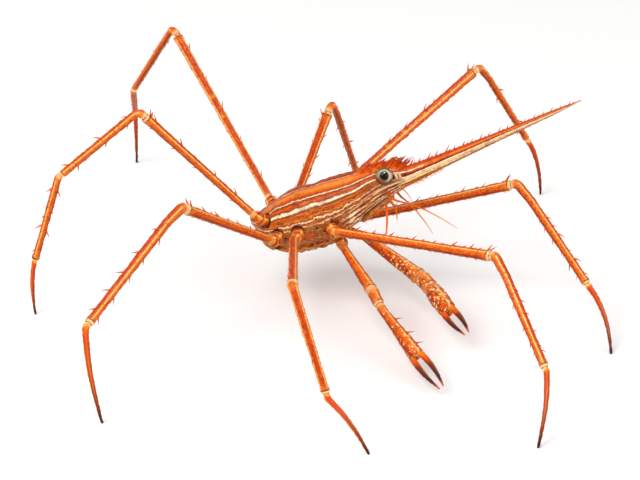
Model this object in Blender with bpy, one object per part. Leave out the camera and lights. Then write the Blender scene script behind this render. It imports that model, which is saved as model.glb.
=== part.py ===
"""Life-size arrow crab standing on its eight walking legs with both claws held low in front.

Lengths are in millimetres and turned into metres where points enter the scene.
The head looks along +X, the animal's left side is +Y, and the floor is the plane z = 0.
Body points are given as station along the body from the tail, sideways, and upwards,
and then turned by the lean of the body. Legs are given by lengths, headings and rises.
"""

import math
import random
from typing import NamedTuple

import bmesh
import bpy
from mathutils import Matrix, Quaternion, Vector

MM = 0.001
OBJECT_NAME = "arrow_crab"

# Where the tail stands and how the body leans, in millimetres and degrees.
TAIL = Vector((-13.760, 2.477, 13.7))
BODY_PITCH = 24.0
BODY_ROLL = -11.0

# Joints and seams.
GAP = 0.3
BEND_RADIUS = 0.95
BEND_STEP = 24.0
STUB = 0.2

# Body lengths along the axis from the tail.
SHELL_START = 0.0
SHELL_END = 28.0
ROSTRUM_TIP = 60.0
SHELL_SIDES = 24
ROSTRUM_SIDES = 12

# Station, half width, top, widest height and bottom of the shell.
SHELL_SECTIONS = (
    (0.0, 0.5, -0.3, -0.9, -1.5),
    (1.2, 2.4, 0.1, -1.8, -4.0),
    (3.0, 4.3, 0.6, -2.4, -5.6),
    (6.0, 5.9, 1.4, -3.0, -6.9),
    (9.5, 6.4, 1.9, -3.4, -7.4),
    (13.0, 5.8, 1.8, -3.4, -7.6),
    (17.0, 4.4, 1.5, -3.0, -6.9),
    (20.5, 3.2, 1.4, -2.4, -5.5),
    (23.5, 2.4, 1.1, -1.8, -4.6),
    (26.0, 1.9, 0.4, -1.8, -4.2),
    (28.0, 1.6, -0.5, -2.0, -3.95),
)
SHELL_RINGS = (0.0, 0.5, 1.2, 2.1, 3.2, 4.6, 6.2, 8.0, 10.0, 12.0, 14.0, 16.0, 18.0, 20.0,
               21.8, 23.5, 25.0, 26.6, 28.0)
ROSTRUM_SECTIONS = (
    (28.3, 1.50, -0.60, -2.05, -3.85),
    (31.0, 1.30, -0.75, -1.90, -3.45),
    (36.0, 1.08, -0.70, -1.60, -2.80),
    (44.0, 0.80, -0.50, -1.05, -1.90),
    (52.0, 0.56, -0.22, -0.55, -1.05),
    (57.0, 0.36, -0.05, -0.25, -0.52),
    (60.0, 0.10, 0.05, -0.05, -0.16),
)
ROSTRUM_RINGS = (28.3, 31.0, 34.0, 38.0, 43.0, 48.0, 53.0, 57.0, 60.0)

# Eyes, set out to the sides of the narrow head on short stalks.
EYE_STATION = 25.3
EYE_OUT = 4.2
EYE_UP = -0.1
EYE_RADIUS = 1.45
EYE_STALK_RADIUS = 0.85

# Feelers: root on the head, then the reach of the whip along, outwards and upwards.
FEELER_STATION = 24.4
FEELER_ANGLE = -46.0
FEELER_STUMP = 1.6
FEELER_RADII = (0.52, 0.45, 0.27, 0.25, 0.14)
FEELER_REACH = {"right": (8.7, 3.8, -6.9), "left": (2.4, 1.0, -7.5)}

# Outer mouth plates with their thin palps.
MOUTH_STATIONS = (18.6, 20.4, 22.2, 24.0)
MOUTH_OUT = 1.05
MOUTH_THICKNESS = 0.8
MOUTH_HALF_WIDTHS = (0.80, 0.85, 0.75, 0.45)
PALP_REACH = {"right": (-2.2, 4.2, -6.8), "left": (0.0, 0.3, -3.9)}
PALP_RADII = (0.30, 0.27, 0.25, 0.16)

# Tail flap folded under the belly.
FLAP_START = 1.2
FLAP_END = 13.6
FLAP_HALF_WIDTH = 2.05
FLAP_THICKNESS = 0.95
FLAP_RIDGES = 6
FLAP_RIDGE_HEIGHT = 0.22
FLAP_ROWS = 25
FLAP_COLUMNS = 7

# Seats of the five limb pairs: station along the shell and angle round its section.
SEATS = {0: (13.9, -64.0), 1: (14.0, -30.0), 2: (8.8, -14.0), 3: (5.3, -14.0), 4: (3.6, 30.0)}
COXA_OUT = 1.35
COXA_RADII = (1.00, 0.98, 0.86)


class Reach(NamedTuple):
    """A straight length of limb: millimetres, heading from +X and rise above level in degrees."""

    length: float
    heading: float
    rise: float


class Leg(NamedTuple):
    """One walking leg as it stands; shin is the thickness past the knee, 1 for full."""

    side: str
    pair: int
    coxa: Reach
    merus: Reach
    carpus: Reach
    propodus: Reach
    dactyl_length: float
    dactyl_heading: float
    bulge: float
    shin: float


class Claw(NamedTuple):
    """One claw arm as it is held."""

    side: str
    coxa: Reach
    merus: Reach
    carpus: Reach
    palm: Reach
    finger_length: float
    finger_heading: float
    finger_rise: float
    arm_radii: tuple
    elbow_radii: tuple
    palm_radii: tuple


LEGS = (
    Leg("left", 1, Reach(2.0, 60, -35), Reach(28.8, -3.2, 17.9), Reach(4.0, -34, -36),
        Reach(17.3, -34, -43), 13.6, -68, 1.5, 0.95),
    Leg("left", 2, Reach(2.0, 95, 10), Reach(39.1, 45.1, 26.5), Reach(4.0, 49, -50),
        Reach(17.3, 49, -56), 12.6, 58, 1.2, 0.80),
    Leg("left", 3, Reach(2.0, 115, 10), Reach(20.4, 60.6, 55.2), Reach(4.0, 80, -46),
        Reach(20.5, 81, -53), 13.4, 92, 1.5, 0.82),
    Leg("left", 4, Reach(1.8, 125, 30), Reach(33.9, 139.3, 42.6), Reach(22.1, 130, -49),
        Reach(17.0, 100, -38), 11.2, 100, 0.6, 0.80),
    Leg("right", 1, Reach(2.0, -60, 30), Reach(32.8, -31.8, 9.2), Reach(4.0, -54, -31),
        Reach(17.3, -56, -38), 12.8, -92, 1.6, 0.97),
    Leg("right", 2, Reach(2.0, -100, 20), Reach(35.2, -81.9, 13.1), Reach(4.0, -56, -48),
        Reach(14.3, -44, -61), 10.8, -28, 1.0, 0.96),
    Leg("right", 3, Reach(1.8, -125, 35), Reach(23.1, -126.2, 31.6), Reach(4.0, -117, -16),
        Reach(24.0, -116, -24), 15.7, -45, 1.6, 1.05),
    Leg("right", 4, Reach(1.7, -165, 45), Reach(27.7, -155.6, 47.5), Reach(18.2, -176, -42),
        Reach(16.4, 180, -74), 9.5, 174, 0.7, 0.92),
)
CLAWS = (
    Claw("left", Reach(2.1, 15, -10), Reach(14.7, -35.6, -15.0), Reach(3.2, -52, -14),
         Reach(5.9, -60, -8), 6.9, -57, -11,
         (0.62, 0.85, 1.12, 1.30), (1.26, 1.32, 1.22), (1.16, 1.50, 1.56, 1.50, 1.38)),
    Claw("right", Reach(2.1, -75, 0), Reach(12.4, -57.8, -14.9), Reach(3.4, -60, -22),
         Reach(11.4, -50, -21), 8.6, -56, -13,
         (0.60, 0.70, 0.85, 0.98), (0.96, 0.94, 0.78), (0.68, 0.76, 0.92, 1.16, 1.22)),
)

# Thickness along the walking legs; the last pair is a little finer.
LEG_SCALE = {1: 1.0, 2: 1.0, 3: 1.0, 4: 0.9}
MERUS_RADII = (0.66, 0.72, 0.74, 0.84)
CARPUS_RADII = (0.80, 0.78, 0.74)
PROPODUS_RADII = (0.72, 0.74, 0.66, 0.70)
DACTYL_RADII = (0.56, 0.48, 0.43, 0.37, 0.29, 0.23)
DACTYL_LEAST = 0.88
TOE_OVERRUN = 0.3

# Claw shape: how far the fingers bow apart and their thickness.
GAPE_HEADING = 25.0
GAPE_RISE = 33.0
CLAW_BEND_RADIUS = 1.8
FINGER_BOW = 0.36
FINGER_ROOT_OFFSET = 0.80
FINGER_RADII = (0.54, 0.50, 0.41, 0.28, 0.14)
FINGER_SINK = 1.2
FINGER_TIP_SPREAD = 0.50
THUMB_TIP_SPREAD = 0.28

TUBE_SIDES = 8

# Thorns, in millimetres and degrees: how far roots are sunk and how thorns vary.
THORN_SEED = 11
THORN_SINK = 0.42
THORN_SIDES = 5
THORN_VARIATION = 0.18
THORN_LEAN = 42.0
MERUS_THORN_SPACING = 3.1
MERUS_THORN_LENGTH = 1.05
MERUS_THORN_START = 4.0
PROPODUS_THORN_SPACING = 2.1
PROPODUS_THORN_LENGTH = 0.9
LONG_CARPUS = 10.0
CLAW_THORN_SPACING = 3.2
CLAW_THORN_LENGTH = 0.6
THORN_BASE = 0.27
THORN_ROWS = (50.0, 230.0, 130.0, 310.0)
THORN_END_MARGIN = 1.7

# Thorns of the beak and of the crest over the eyes.
BEAK_THORN_START = 30.0
BEAK_THORN_END = 58.0
BEAK_THORN_SPACING = 2.1
BEAK_THORN_LENGTH = 1.0
BEAK_THORN_ANGLES = (68.0, 112.0)
BEAK_TOOTH_SPACING = 2.0
BEAK_TOOTH_LENGTH = 0.55
BEAK_TOOTH_ANGLES = (-62.0, -118.0)
CREST_ROWS = (
    (20.6, 0.7, (70.0, 110.0)),
    (22.0, 1.0, (54.0, 90.0, 126.0)),
    (23.3, 1.25, (66.0, 114.0)),
    (24.5, 1.35, (48.0, 90.0, 132.0)),
    (25.6, 1.45, (68.0, 112.0)),
    (26.6, 1.4, (50.0, 90.0, 130.0)),
    (27.4, 1.2, (70.0, 110.0)),
)
CREST_LEAN = 40.0

COLOURS = {
    "shell": (0.72, 0.30, 0.10, 1.0),
    "rostrum": (0.74, 0.26, 0.07, 1.0),
    "limb": (0.78, 0.24, 0.04, 1.0),
    "joint": (0.85, 0.55, 0.25, 1.0),
    "toe": (0.30, 0.06, 0.02, 1.0),
    "belly": (0.76, 0.48, 0.22, 1.0),
    "eye": (0.20, 0.18, 0.13, 1.0),
}


def clear_scene():
    """Remove every object that the scene starts with."""
    for item in list(bpy.data.objects):
        bpy.data.objects.remove(item, do_unlink=True)


def body_matrix():
    """Give the turn and place of the body frame in millimetres."""
    pitch = Matrix.Rotation(math.radians(-BODY_PITCH), 4, "Y")
    roll = Matrix.Rotation(math.radians(BODY_ROLL), 4, "X")
    return Matrix.Translation(TAIL) @ pitch @ roll


BODY = body_matrix()
BODY_TURN = BODY.to_3x3()
DRAW = random.Random(THORN_SEED)


def on_body(station, out, up):
    """Turn a body point into a place in the room."""
    return BODY @ Vector((station, out, up))


def direction(heading, rise):
    """Give the unit vector of a heading and a rise in degrees."""
    turn = math.radians(heading)
    lift = math.radians(rise)
    return Vector((math.cos(turn) * math.cos(lift), math.sin(turn) * math.cos(lift), math.sin(lift)))


def reach_vector(reach):
    """Give the straight vector of one limb length."""
    return direction(reach.heading, reach.rise) * reach.length


def smooth_row(rows, station):
    """Read a table of sections at a station, with smooth slopes between its rows."""
    if station <= rows[0][0]:
        return rows[0][1:]
    if station >= rows[-1][0]:
        return rows[-1][1:]
    index = 0
    while rows[index + 1][0] < station:
        index += 1
    first = rows[index]
    second = rows[index + 1]
    before = rows[max(index - 1, 0)]
    after = rows[min(index + 2, len(rows) - 1)]
    span = second[0] - first[0]
    t = (station - first[0]) / span
    values = []
    for column in range(1, len(first)):
        slope_in = (second[column] - before[column]) / (second[0] - before[0])
        slope_out = (after[column] - first[column]) / (after[0] - first[0])
        a = 2 * t ** 3 - 3 * t ** 2 + 1
        b = t ** 3 - 2 * t ** 2 + t
        c = -2 * t ** 3 + 3 * t ** 2
        d = t ** 3 - t ** 2
        values.append(a * first[column] + b * span * slope_in
                      + c * second[column] + d * span * slope_out)
    return tuple(values)


def section_point(rows, station, angle):
    """Give the body point on a section, with 0 degrees at the left edge and 90 on top."""
    half_width, top, middle, bottom = smooth_row(rows, station)
    turn = math.radians(angle)
    rise = math.sin(turn)
    height = middle + (top - middle) * rise if rise > 0 else middle + (middle - bottom) * rise
    return Vector((station, half_width * math.cos(turn), height))


def section_normal(rows, station, angle):
    """Give the outward normal of the skin at a section point, in the body frame."""
    along = section_point(rows, station + 0.3, angle) - section_point(rows, station - 0.3, angle)
    around = section_point(rows, station, angle + 3) - section_point(rows, station, angle - 3)
    return along.cross(around).normalized() * -1.0


def to_side(vector, side):
    """Mirror a body vector to the named side."""
    return Vector((vector.x, vector.y if side == "left" else -vector.y, vector.z))


def shell_seat(station, angle, side, lift):
    """Give the place and outward direction just off the shell at a seat."""
    point = section_point(SHELL_SECTIONS, station, angle)
    normal = section_normal(SHELL_SECTIONS, station, angle)
    place = BODY @ to_side(point + normal * lift, side)
    return place, (BODY_TURN @ to_side(normal, side)).normalized()


def make_material(name, colour, roughness=0.4, metallic=0.0):
    """Create the plain material of one object."""
    material = bpy.data.materials.new(name + "_material")
    material.diffuse_color = colour
    material.use_nodes = True
    shader = material.node_tree.nodes["Principled BSDF"]
    shader.inputs["Base Color"].default_value = colour
    shader.inputs["Roughness"].default_value = roughness
    shader.inputs["Metallic"].default_value = metallic
    return material


def add_object(name, mesh, collection, colour=None, roughness=0.4):
    """Put a mesh in the scene as a smooth object, with a material when a colour is named."""
    item = bpy.data.objects.new(name, mesh)
    collection.objects.link(item)
    for polygon in mesh.polygons:
        polygon.use_smooth = True
    if colour:
        mesh.materials.clear()
        mesh.materials.append(make_material(name, COLOURS[colour], roughness))
    return item


def finish_mesh(bm, name):
    """Weld, turn faces outward and store a mesh built in millimetres as metres."""
    bmesh.ops.remove_doubles(bm, verts=bm.verts, dist=0.004)
    bmesh.ops.recalc_face_normals(bm, faces=bm.faces)
    bmesh.ops.scale(bm, vec=(MM, MM, MM), verts=bm.verts)
    mesh = bpy.data.meshes.new(name)
    bm.to_mesh(mesh)
    bm.free()
    return mesh


def loft_mesh(name, rings):
    """Skin a list of rings with equal point counts and close both ends."""
    bm = bmesh.new()
    rows = [[bm.verts.new(point) for point in ring] for ring in rings]
    count = len(rings[0])
    for lower, upper in zip(rows, rows[1:]):
        for i in range(count):
            j = (i + 1) % count
            bm.faces.new((lower[i], lower[j], upper[j], upper[i]))
    bm.faces.new(list(reversed(rows[0])))
    bm.faces.new(rows[-1])
    return finish_mesh(bm, name)


def tube_mesh(name, points, radii, sides=TUBE_SIDES):
    """Sweep a round section along a path with a curve, filled at both ends."""
    curve = bpy.data.curves.new(name + "_path", "CURVE")
    curve.dimensions = "3D"
    curve.bevel_depth = MM
    curve.bevel_resolution = max((sides - 4) // 2, 0)
    curve.use_fill_caps = True
    curve.twist_mode = "MINIMUM"
    spline = curve.splines.new("POLY")
    spline.points.add(len(points) - 1)
    for handle, point, radius in zip(spline.points, points, radii):
        handle.co = (*(point * MM), 1.0)
        handle.radius = radius
    guide = bpy.data.objects.new(name + "_guide", curve)
    bpy.context.scene.collection.objects.link(guide)
    depsgraph = bpy.context.evaluated_depsgraph_get()
    mesh = bpy.data.meshes.new_from_object(guide.evaluated_get(depsgraph))
    bpy.data.objects.remove(guide, do_unlink=True)
    bm = bmesh.new()
    bm.from_mesh(mesh)
    bmesh.ops.scale(bm, vec=(1 / MM, 1 / MM, 1 / MM), verts=bm.verts)
    bpy.data.meshes.remove(mesh)
    return finish_mesh(bm, name)


def cut_flat_toe(mesh):
    """Cut a toe off level with the floor and close the cut."""
    bm = bmesh.new()
    bm.from_mesh(mesh)
    geometry = list(bm.verts) + list(bm.edges) + list(bm.faces)
    cut = bmesh.ops.bisect_plane(bm, geom=geometry, plane_co=(0, 0, 0), plane_no=(0, 0, 1),
                                 clear_inner=True, dist=1e-6)
    edges = [part for part in cut["geom_cut"] if isinstance(part, bmesh.types.BMEdge)]
    bmesh.ops.edgenet_fill(bm, edges=edges)
    for vert in bm.verts:
        if vert.co.z < 1e-6:
            vert.co.z = 0.0
    bmesh.ops.recalc_face_normals(bm, faces=bm.faces)
    bm.to_mesh(mesh)
    bm.free()


def union_into(item, collection_name, meshes, solver="EXACT"):
    """Join closed meshes to an object with one union and keep the largest closed surface."""
    extras = bpy.data.collections.new(collection_name)
    bpy.context.scene.collection.children.link(extras)
    for index, mesh in enumerate(meshes):
        extras.objects.link(bpy.data.objects.new(f"{collection_name}_{index}", mesh))
    modifier = item.modifiers.new("join", "BOOLEAN")
    modifier.operation = "UNION"
    modifier.operand_type = "COLLECTION"
    modifier.collection = extras
    modifier.solver = solver
    depsgraph = bpy.context.evaluated_depsgraph_get()
    joined = bpy.data.meshes.new_from_object(item.evaluated_get(depsgraph))
    item.modifiers.clear()
    for part in list(extras.objects):
        bpy.data.objects.remove(part, do_unlink=True)
    bpy.data.collections.remove(extras)
    keep_largest_surface(joined)
    old = item.data
    material = old.materials[0] if old.materials else None
    joined.materials.clear()
    if material:
        joined.materials.append(material)
    for polygon in joined.polygons:
        polygon.use_smooth = True
        polygon.material_index = 0
    item.data = joined
    bpy.data.meshes.remove(old)


def keep_largest_surface(mesh):
    """Drop every loose shell of a mesh but the one with most faces."""
    bm = bmesh.new()
    bm.from_mesh(mesh)
    bmesh.ops.remove_doubles(bm, verts=bm.verts, dist=1e-7)
    bm.faces.ensure_lookup_table()
    left = set(bm.faces)
    groups = []
    while left:
        seed = left.pop()
        group = [seed]
        queue = [seed]
        while queue:
            face = queue.pop()
            for edge in face.edges:
                for other in edge.link_faces:
                    if other in left:
                        left.remove(other)
                        group.append(other)
                        queue.append(other)
        groups.append(group)
    groups.sort(key=len)
    for group in groups[:-1]:
        bmesh.ops.delete(bm, geom=group, context="FACES")
    bm.to_mesh(mesh)
    bm.free()


def thorn_mesh(name, root, way, length, base):
    """Build one thorn as a cone with its root sunk below the skin."""
    bm = bmesh.new()
    bmesh.ops.create_cone(bm, cap_ends=True, segments=THORN_SIDES, radius1=base, radius2=0.0,
                          depth=length + THORN_SINK)
    turn = way.to_track_quat("Z", "Y").to_matrix().to_4x4()
    middle = root + way * (length - THORN_SINK) / 2
    bmesh.ops.transform(bm, matrix=Matrix.Translation(middle) @ turn, verts=bm.verts)
    return finish_mesh(bm, name)


def vary(length):
    """Give a length a little longer or shorter, from the seeded draw."""
    return length * (1 + DRAW.uniform(-THORN_VARIATION, THORN_VARIATION))


def point_on_path(points, radii, distance):
    """Give the place, direction and thickness at a distance along a path."""
    for index in range(len(points) - 1):
        step = points[index + 1] - points[index]
        if distance <= step.length or index == len(points) - 2:
            part = min(distance / step.length, 1.0)
            radius = radii[index] * (1 - part) + radii[index + 1] * part
            return points[index].lerp(points[index + 1], part), step.normalized(), radius
        distance -= step.length
    return points[-1], Vector((1, 0, 0)), radii[-1]


def thorns_on_tube(name, points, radii, spacing, length, start=THORN_END_MARGIN):
    """Give thorns in four rows down a tube, leaning towards its far end."""
    total = sum((b - a).length for a, b in zip(points, points[1:]))
    count = int((total - start - THORN_END_MARGIN) / spacing * 2)
    meshes = []
    for index in range(count):
        distance = start + (total - start - THORN_END_MARGIN) * (index + 0.5) / count
        distance += DRAW.uniform(-0.2, 0.2) * spacing
        place, along, radius = point_on_path(points, radii, distance)
        level = along.cross(Vector((0, 0, 1))).normalized()
        upward = level.cross(along).normalized()
        turn = math.radians(THORN_ROWS[index % len(THORN_ROWS)] + DRAW.uniform(-12, 12))
        outward = level * math.cos(turn) + upward * math.sin(turn)
        lean = math.radians(THORN_LEAN)
        way = outward * math.cos(lean) + along * math.sin(lean)
        root = place + outward * radius * 0.93
        meshes.append(thorn_mesh(f"{name}_thorn_{index}", root, way, vary(length), THORN_BASE))
    return meshes


def thorns_on_section(name, rows, station, angles, length, base, lean_degrees):
    """Give thorns round one section of the body or beak, leaning forwards."""
    meshes = []
    lean = math.radians(lean_degrees)
    for index, angle in enumerate(angles):
        at = station + DRAW.uniform(-0.25, 0.25)
        point = section_point(rows, at, angle + DRAW.uniform(-4, 4))
        normal = section_normal(rows, at, angle)
        way = (normal * math.cos(lean) + Vector((1, 0, 0)) * math.sin(lean)).normalized()
        tag = f"{name}_{index}_{round(station * 10)}"
        root = BODY @ (point - normal * 0.03)
        meshes.append(thorn_mesh(tag, root, (BODY_TURN @ way).normalized(), vary(length), base))
    return meshes


def corner(before, here, after, radius=BEND_RADIUS):
    """Round a corner of a path: give where the bend starts, its points and both directions."""
    into = (here - before).normalized()
    out = (after - here).normalized()
    bend = into.angle(out)
    if bend < math.radians(3):
        return here - into * 0.05, [here + out * 0.05], into, out
    tangent = radius * math.tan(bend / 2)
    start = here - into * tangent
    axis = into.cross(out).normalized()
    centre = start + axis.cross(into).normalized() * radius
    steps = max(2, math.ceil(math.degrees(bend) / BEND_STEP))
    spoke = start - centre
    arc = [centre + Quaternion(axis, bend * k / steps) @ spoke for k in range(1, steps + 1)]
    return start, arc, into, out


def limb_path(corner_in, corner_out, extra=()):
    """Give the path of one limb length: its bend at the start, then straight to the next one."""
    start, arc, into, _ = corner_in
    points = [start - into * STUB, start] + arc
    points += list(extra)
    if corner_out:
        stop, _, direction_out, _ = corner_out
        points.append(stop - direction_out * (STUB + GAP))
    return points


def spread_radii(points, radii, scale=1.0):
    """Share named radii out along a path by its length."""
    lengths = [0.0]
    for a, b in zip(points, points[1:]):
        lengths.append(lengths[-1] + (b - a).length)
    total = lengths[-1]
    result = []
    for length in lengths:
        place = length / total * (len(radii) - 1)
        index = min(int(place), len(radii) - 2)
        part = place - index
        result.append(scale * (radii[index] * (1 - part) + radii[index + 1] * part))
    return result


def subdivide_last(points, count):
    """Add evenly spaced points in the last straight of a path."""
    a, b = points[-2], points[-1]
    middle = [a.lerp(b, k / (count + 1)) for k in range(1, count + 1)]
    return points[:-1] + middle + [b]


def dactyl_curve(ankle, toe, heading, bulge, count=5):
    """Give points down a sabre-shaped last joint, bowed away from the body, past the floor."""
    bow = (ankle + toe) / 2 + direction(heading, 0) * bulge * 1.2 + Vector((0, 0, bulge * 1.2))
    points = []
    for k in range(1, count + 1):
        t = k / count
        points.append(ankle * (1 - t) ** 2 + bow * 2 * t * (1 - t) + toe * t ** 2)
    last = points[-1] - points[-2]
    points.append(points[-1] + last.normalized() * (TOE_OVERRUN / max(-last.normalized().z, 0.3)))
    return points


def leg_part_scale(leg, part):
    """Give how thick one piece of a leg is against the full thickness."""
    if part == "coxa":
        return 1.0
    scale = LEG_SCALE[leg.pair]
    if part == "merus":
        return scale
    if part == "dactyl":
        return scale * max(leg.shin, DACTYL_LEAST)
    return scale * leg.shin


def build_leg(leg, collection):
    """Build the five pieces of one walking leg."""
    station, angle = SEATS[leg.pair]
    root, outward = shell_seat(station, angle, leg.side, GAP)
    elbow = root + outward * COXA_OUT
    hip = elbow + reach_vector(leg.coxa)
    knee = hip + reach_vector(leg.merus)
    wrist = knee + reach_vector(leg.carpus)
    ankle = wrist + reach_vector(leg.propodus)
    drop = ankle.z
    run = math.sqrt(max(leg.dactyl_length ** 2 - drop ** 2, 0.01))
    toe = Vector((ankle.x, ankle.y, 0)) + direction(leg.dactyl_heading, 0) * run
    sabre = dactyl_curve(ankle, toe, leg.propodus.heading, leg.bulge)
    at_elbow = corner(root, elbow, hip, 0.9)
    at_hip = corner(elbow, hip, knee)
    at_knee = corner(hip, knee, wrist)
    at_wrist = corner(knee, wrist, ankle)
    at_ankle = corner(wrist, ankle, sabre[0])
    prefix = f"leg_{leg.side}_{leg.pair}"
    paths = {
        "coxa": ([root, at_elbow[0]] + at_elbow[1]
                 + [at_hip[0] - at_hip[2] * (STUB + GAP)], COXA_RADII, "joint"),
        "merus": (subdivide_last(limb_path(at_hip, at_knee), 2), MERUS_RADII, "limb"),
        "carpus": (limb_path(at_knee, at_wrist), CARPUS_RADII, "joint"),
        "propodus": (subdivide_last(limb_path(at_wrist, at_ankle), 2), PROPODUS_RADII, "limb"),
        "dactyl": (limb_path(at_ankle, None, sabre), DACTYL_RADII, "toe"),
    }
    for part, (points, radii, colour) in paths.items():
        name = f"{prefix}_{part}"
        size = leg_part_scale(leg, part)
        widths = spread_radii(points, radii, size)
        mesh = tube_mesh(name, points, widths)
        if part == "dactyl":
            cut_flat_toe(mesh)
        item = add_object(name, mesh, collection, colour)
        thorns = []
        if part == "merus":
            thorns = thorns_on_tube(name, points, widths, MERUS_THORN_SPACING,
                                    MERUS_THORN_LENGTH, MERUS_THORN_START)
        elif part == "propodus":
            thorns = thorns_on_tube(name, points, widths, PROPODUS_THORN_SPACING,
                                    PROPODUS_THORN_LENGTH)
        elif part == "carpus" and leg.carpus.length > LONG_CARPUS:
            thorns = thorns_on_tube(name, points, widths, PROPODUS_THORN_SPACING,
                                    PROPODUS_THORN_LENGTH, 2.4)
        if thorns:
            union_into(item, name + "_joining", thorns)


def finger_points(root, tip, side_way, bow, count=5):
    """Give points along one finger, bowed sideways between its root and tip."""
    points = []
    for k in range(count + 1):
        t = k / count
        swell = math.sin(math.pi * t) * bow
        points.append(root.lerp(tip, t) + side_way * swell)
    return points


def build_claw(claw, collection):
    """Build the five pieces of one claw arm: three arm joints, palm with thumb, and finger."""
    station, angle = SEATS[0]
    root, outward = shell_seat(station, angle, claw.side, GAP)
    elbow = root + outward * COXA_OUT
    hip = elbow + reach_vector(claw.coxa)
    knee = hip + reach_vector(claw.merus)
    wrist = knee + reach_vector(claw.carpus)
    heel = wrist + reach_vector(claw.palm)
    aim = direction(claw.finger_heading, claw.finger_rise)
    tip = heel + aim * claw.finger_length
    gape = direction(GAPE_HEADING, GAPE_RISE)
    gape = (gape - aim * gape.dot(aim)).normalized()
    at_elbow = corner(root, elbow, hip, 0.9)
    at_hip = corner(elbow, hip, knee)
    at_knee = corner(hip, knee, wrist, CLAW_BEND_RADIUS)
    at_wrist = corner(knee, wrist, heel, CLAW_BEND_RADIUS)
    prefix = f"claw_{claw.side}"
    coxa = [root, at_elbow[0]] + at_elbow[1] + [at_hip[0] - at_hip[2] * (STUB + GAP)]
    merus = subdivide_last(limb_path(at_hip, at_knee), 2)
    carpus = limb_path(at_knee, at_wrist)
    palm = [at_wrist[0] - at_wrist[2] * STUB, at_wrist[0]] + at_wrist[1] + [heel]
    palm = subdivide_last(palm, 3)
    tubes = {
        "coxa": (coxa, COXA_RADII, "joint"),
        "merus": (merus, claw.arm_radii, "limb"),
        "carpus": (carpus, claw.elbow_radii, "joint"),
        "palm": (palm, claw.palm_radii, "limb"),
    }
    items = {}
    thorns = {}
    for part, (points, radii, colour) in tubes.items():
        name = f"{prefix}_{part}"
        widths = spread_radii(points, radii)
        mesh = tube_mesh(name, points, widths)
        items[part] = add_object(name, mesh, collection, colour)
        if part in ("merus", "palm"):
            thorns[part] = thorns_on_tube(name, points, widths, CLAW_THORN_SPACING,
                                          CLAW_THORN_LENGTH)
    thumb_root = heel - gape * FINGER_ROOT_OFFSET - aim * FINGER_SINK
    thumb_tip = tip - gape * THUMB_TIP_SPREAD
    thumb = finger_points(thumb_root, thumb_tip, gape, -FINGER_BOW)
    thumb_mesh = tube_mesh(prefix + "_thumb", thumb, spread_radii(thumb, FINGER_RADII), 6)
    union_into(items["palm"], prefix + "_joining", [thumb_mesh] + thorns["palm"])
    union_into(items["merus"], prefix + "_arm_joining", thorns["merus"])
    finger_root = heel + gape * FINGER_ROOT_OFFSET + aim * GAP
    finger_tip = tip + gape * FINGER_TIP_SPREAD
    finger = finger_points(finger_root, finger_tip, gape, FINGER_BOW)
    finger_name = prefix + "_finger"
    mesh = tube_mesh(finger_name, finger, spread_radii(finger, FINGER_RADII), 6)
    add_object(finger_name, mesh, collection, "toe")


def ring_points(rows, station, sides):
    """Give one ring of a sectioned body part in the room."""
    return [BODY @ section_point(rows, station, 360.0 * k / sides) for k in range(sides)]


def build_shell(collection):
    """Build the body shell from its sections."""
    rings = [ring_points(SHELL_SECTIONS, station, SHELL_SIDES) for station in SHELL_RINGS]
    item = add_object("carapace", loft_mesh("carapace", rings), collection, "shell")
    thorns = []
    for station, length, angles in CREST_ROWS:
        thorns += thorns_on_section("crest", SHELL_SECTIONS, station, angles, length, THORN_BASE,
                                    CREST_LEAN)
    union_into(item, "crest_joining", thorns)


def build_rostrum(collection):
    """Build the long beak from its sections."""
    rings = [ring_points(ROSTRUM_SECTIONS, station, ROSTRUM_SIDES) for station in ROSTRUM_RINGS]
    item = add_object("rostrum", loft_mesh("rostrum", rings), collection, "rostrum")
    thorns = []
    for angles, spacing, length in ((BEAK_THORN_ANGLES, BEAK_THORN_SPACING, BEAK_THORN_LENGTH),
                                    (BEAK_TOOTH_ANGLES, BEAK_TOOTH_SPACING, BEAK_TOOTH_LENGTH)):
        count = int((BEAK_THORN_END - BEAK_THORN_START) / spacing)
        for index in range(count):
            station = BEAK_THORN_START + spacing * index
            reach = (station - BEAK_THORN_START) / (BEAK_THORN_END - BEAK_THORN_START)
            for k, angle in enumerate(angles):
                shift = spacing * 0.5 * k
                size = length * (1 - 0.45 * reach)
                base = THORN_BASE * (1 - 0.35 * reach)
                thorns += thorns_on_section(f"beak_{round(angle)}", ROSTRUM_SECTIONS,
                                            station + shift, (angle,), size, base, CREST_LEAN)
    union_into(item, "beak_joining", thorns)


def build_eye(side, collection):
    """Build one round eye with its short stalk."""
    centre = to_side(Vector((EYE_STATION, EYE_OUT, EYE_UP)), side)
    name = "eye_" + side
    bm = bmesh.new()
    bmesh.ops.create_uvsphere(bm, u_segments=20, v_segments=12, radius=EYE_RADIUS)
    bmesh.ops.rotate(bm, verts=bm.verts, cent=(0, 0, 0), matrix=Matrix.Rotation(math.pi / 2, 3, "X"))
    bmesh.ops.transform(bm, matrix=BODY @ Matrix.Translation(centre), verts=bm.verts)
    item = add_object(name, finish_mesh(bm, name), collection, "eye", 0.1)
    head_half_width = smooth_row(SHELL_SECTIONS, EYE_STATION)[0]
    start = BODY @ to_side(Vector((EYE_STATION, head_half_width + GAP, EYE_UP - 0.2)), side)
    end = BODY @ centre
    path = [start, start.lerp(end, 0.4), end]
    stalk = tube_mesh(name + "_stalk", path, (0.62, EYE_STALK_RADIUS, EYE_STALK_RADIUS * 0.8))
    union_into(item, name + "_joining", [stalk])


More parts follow.
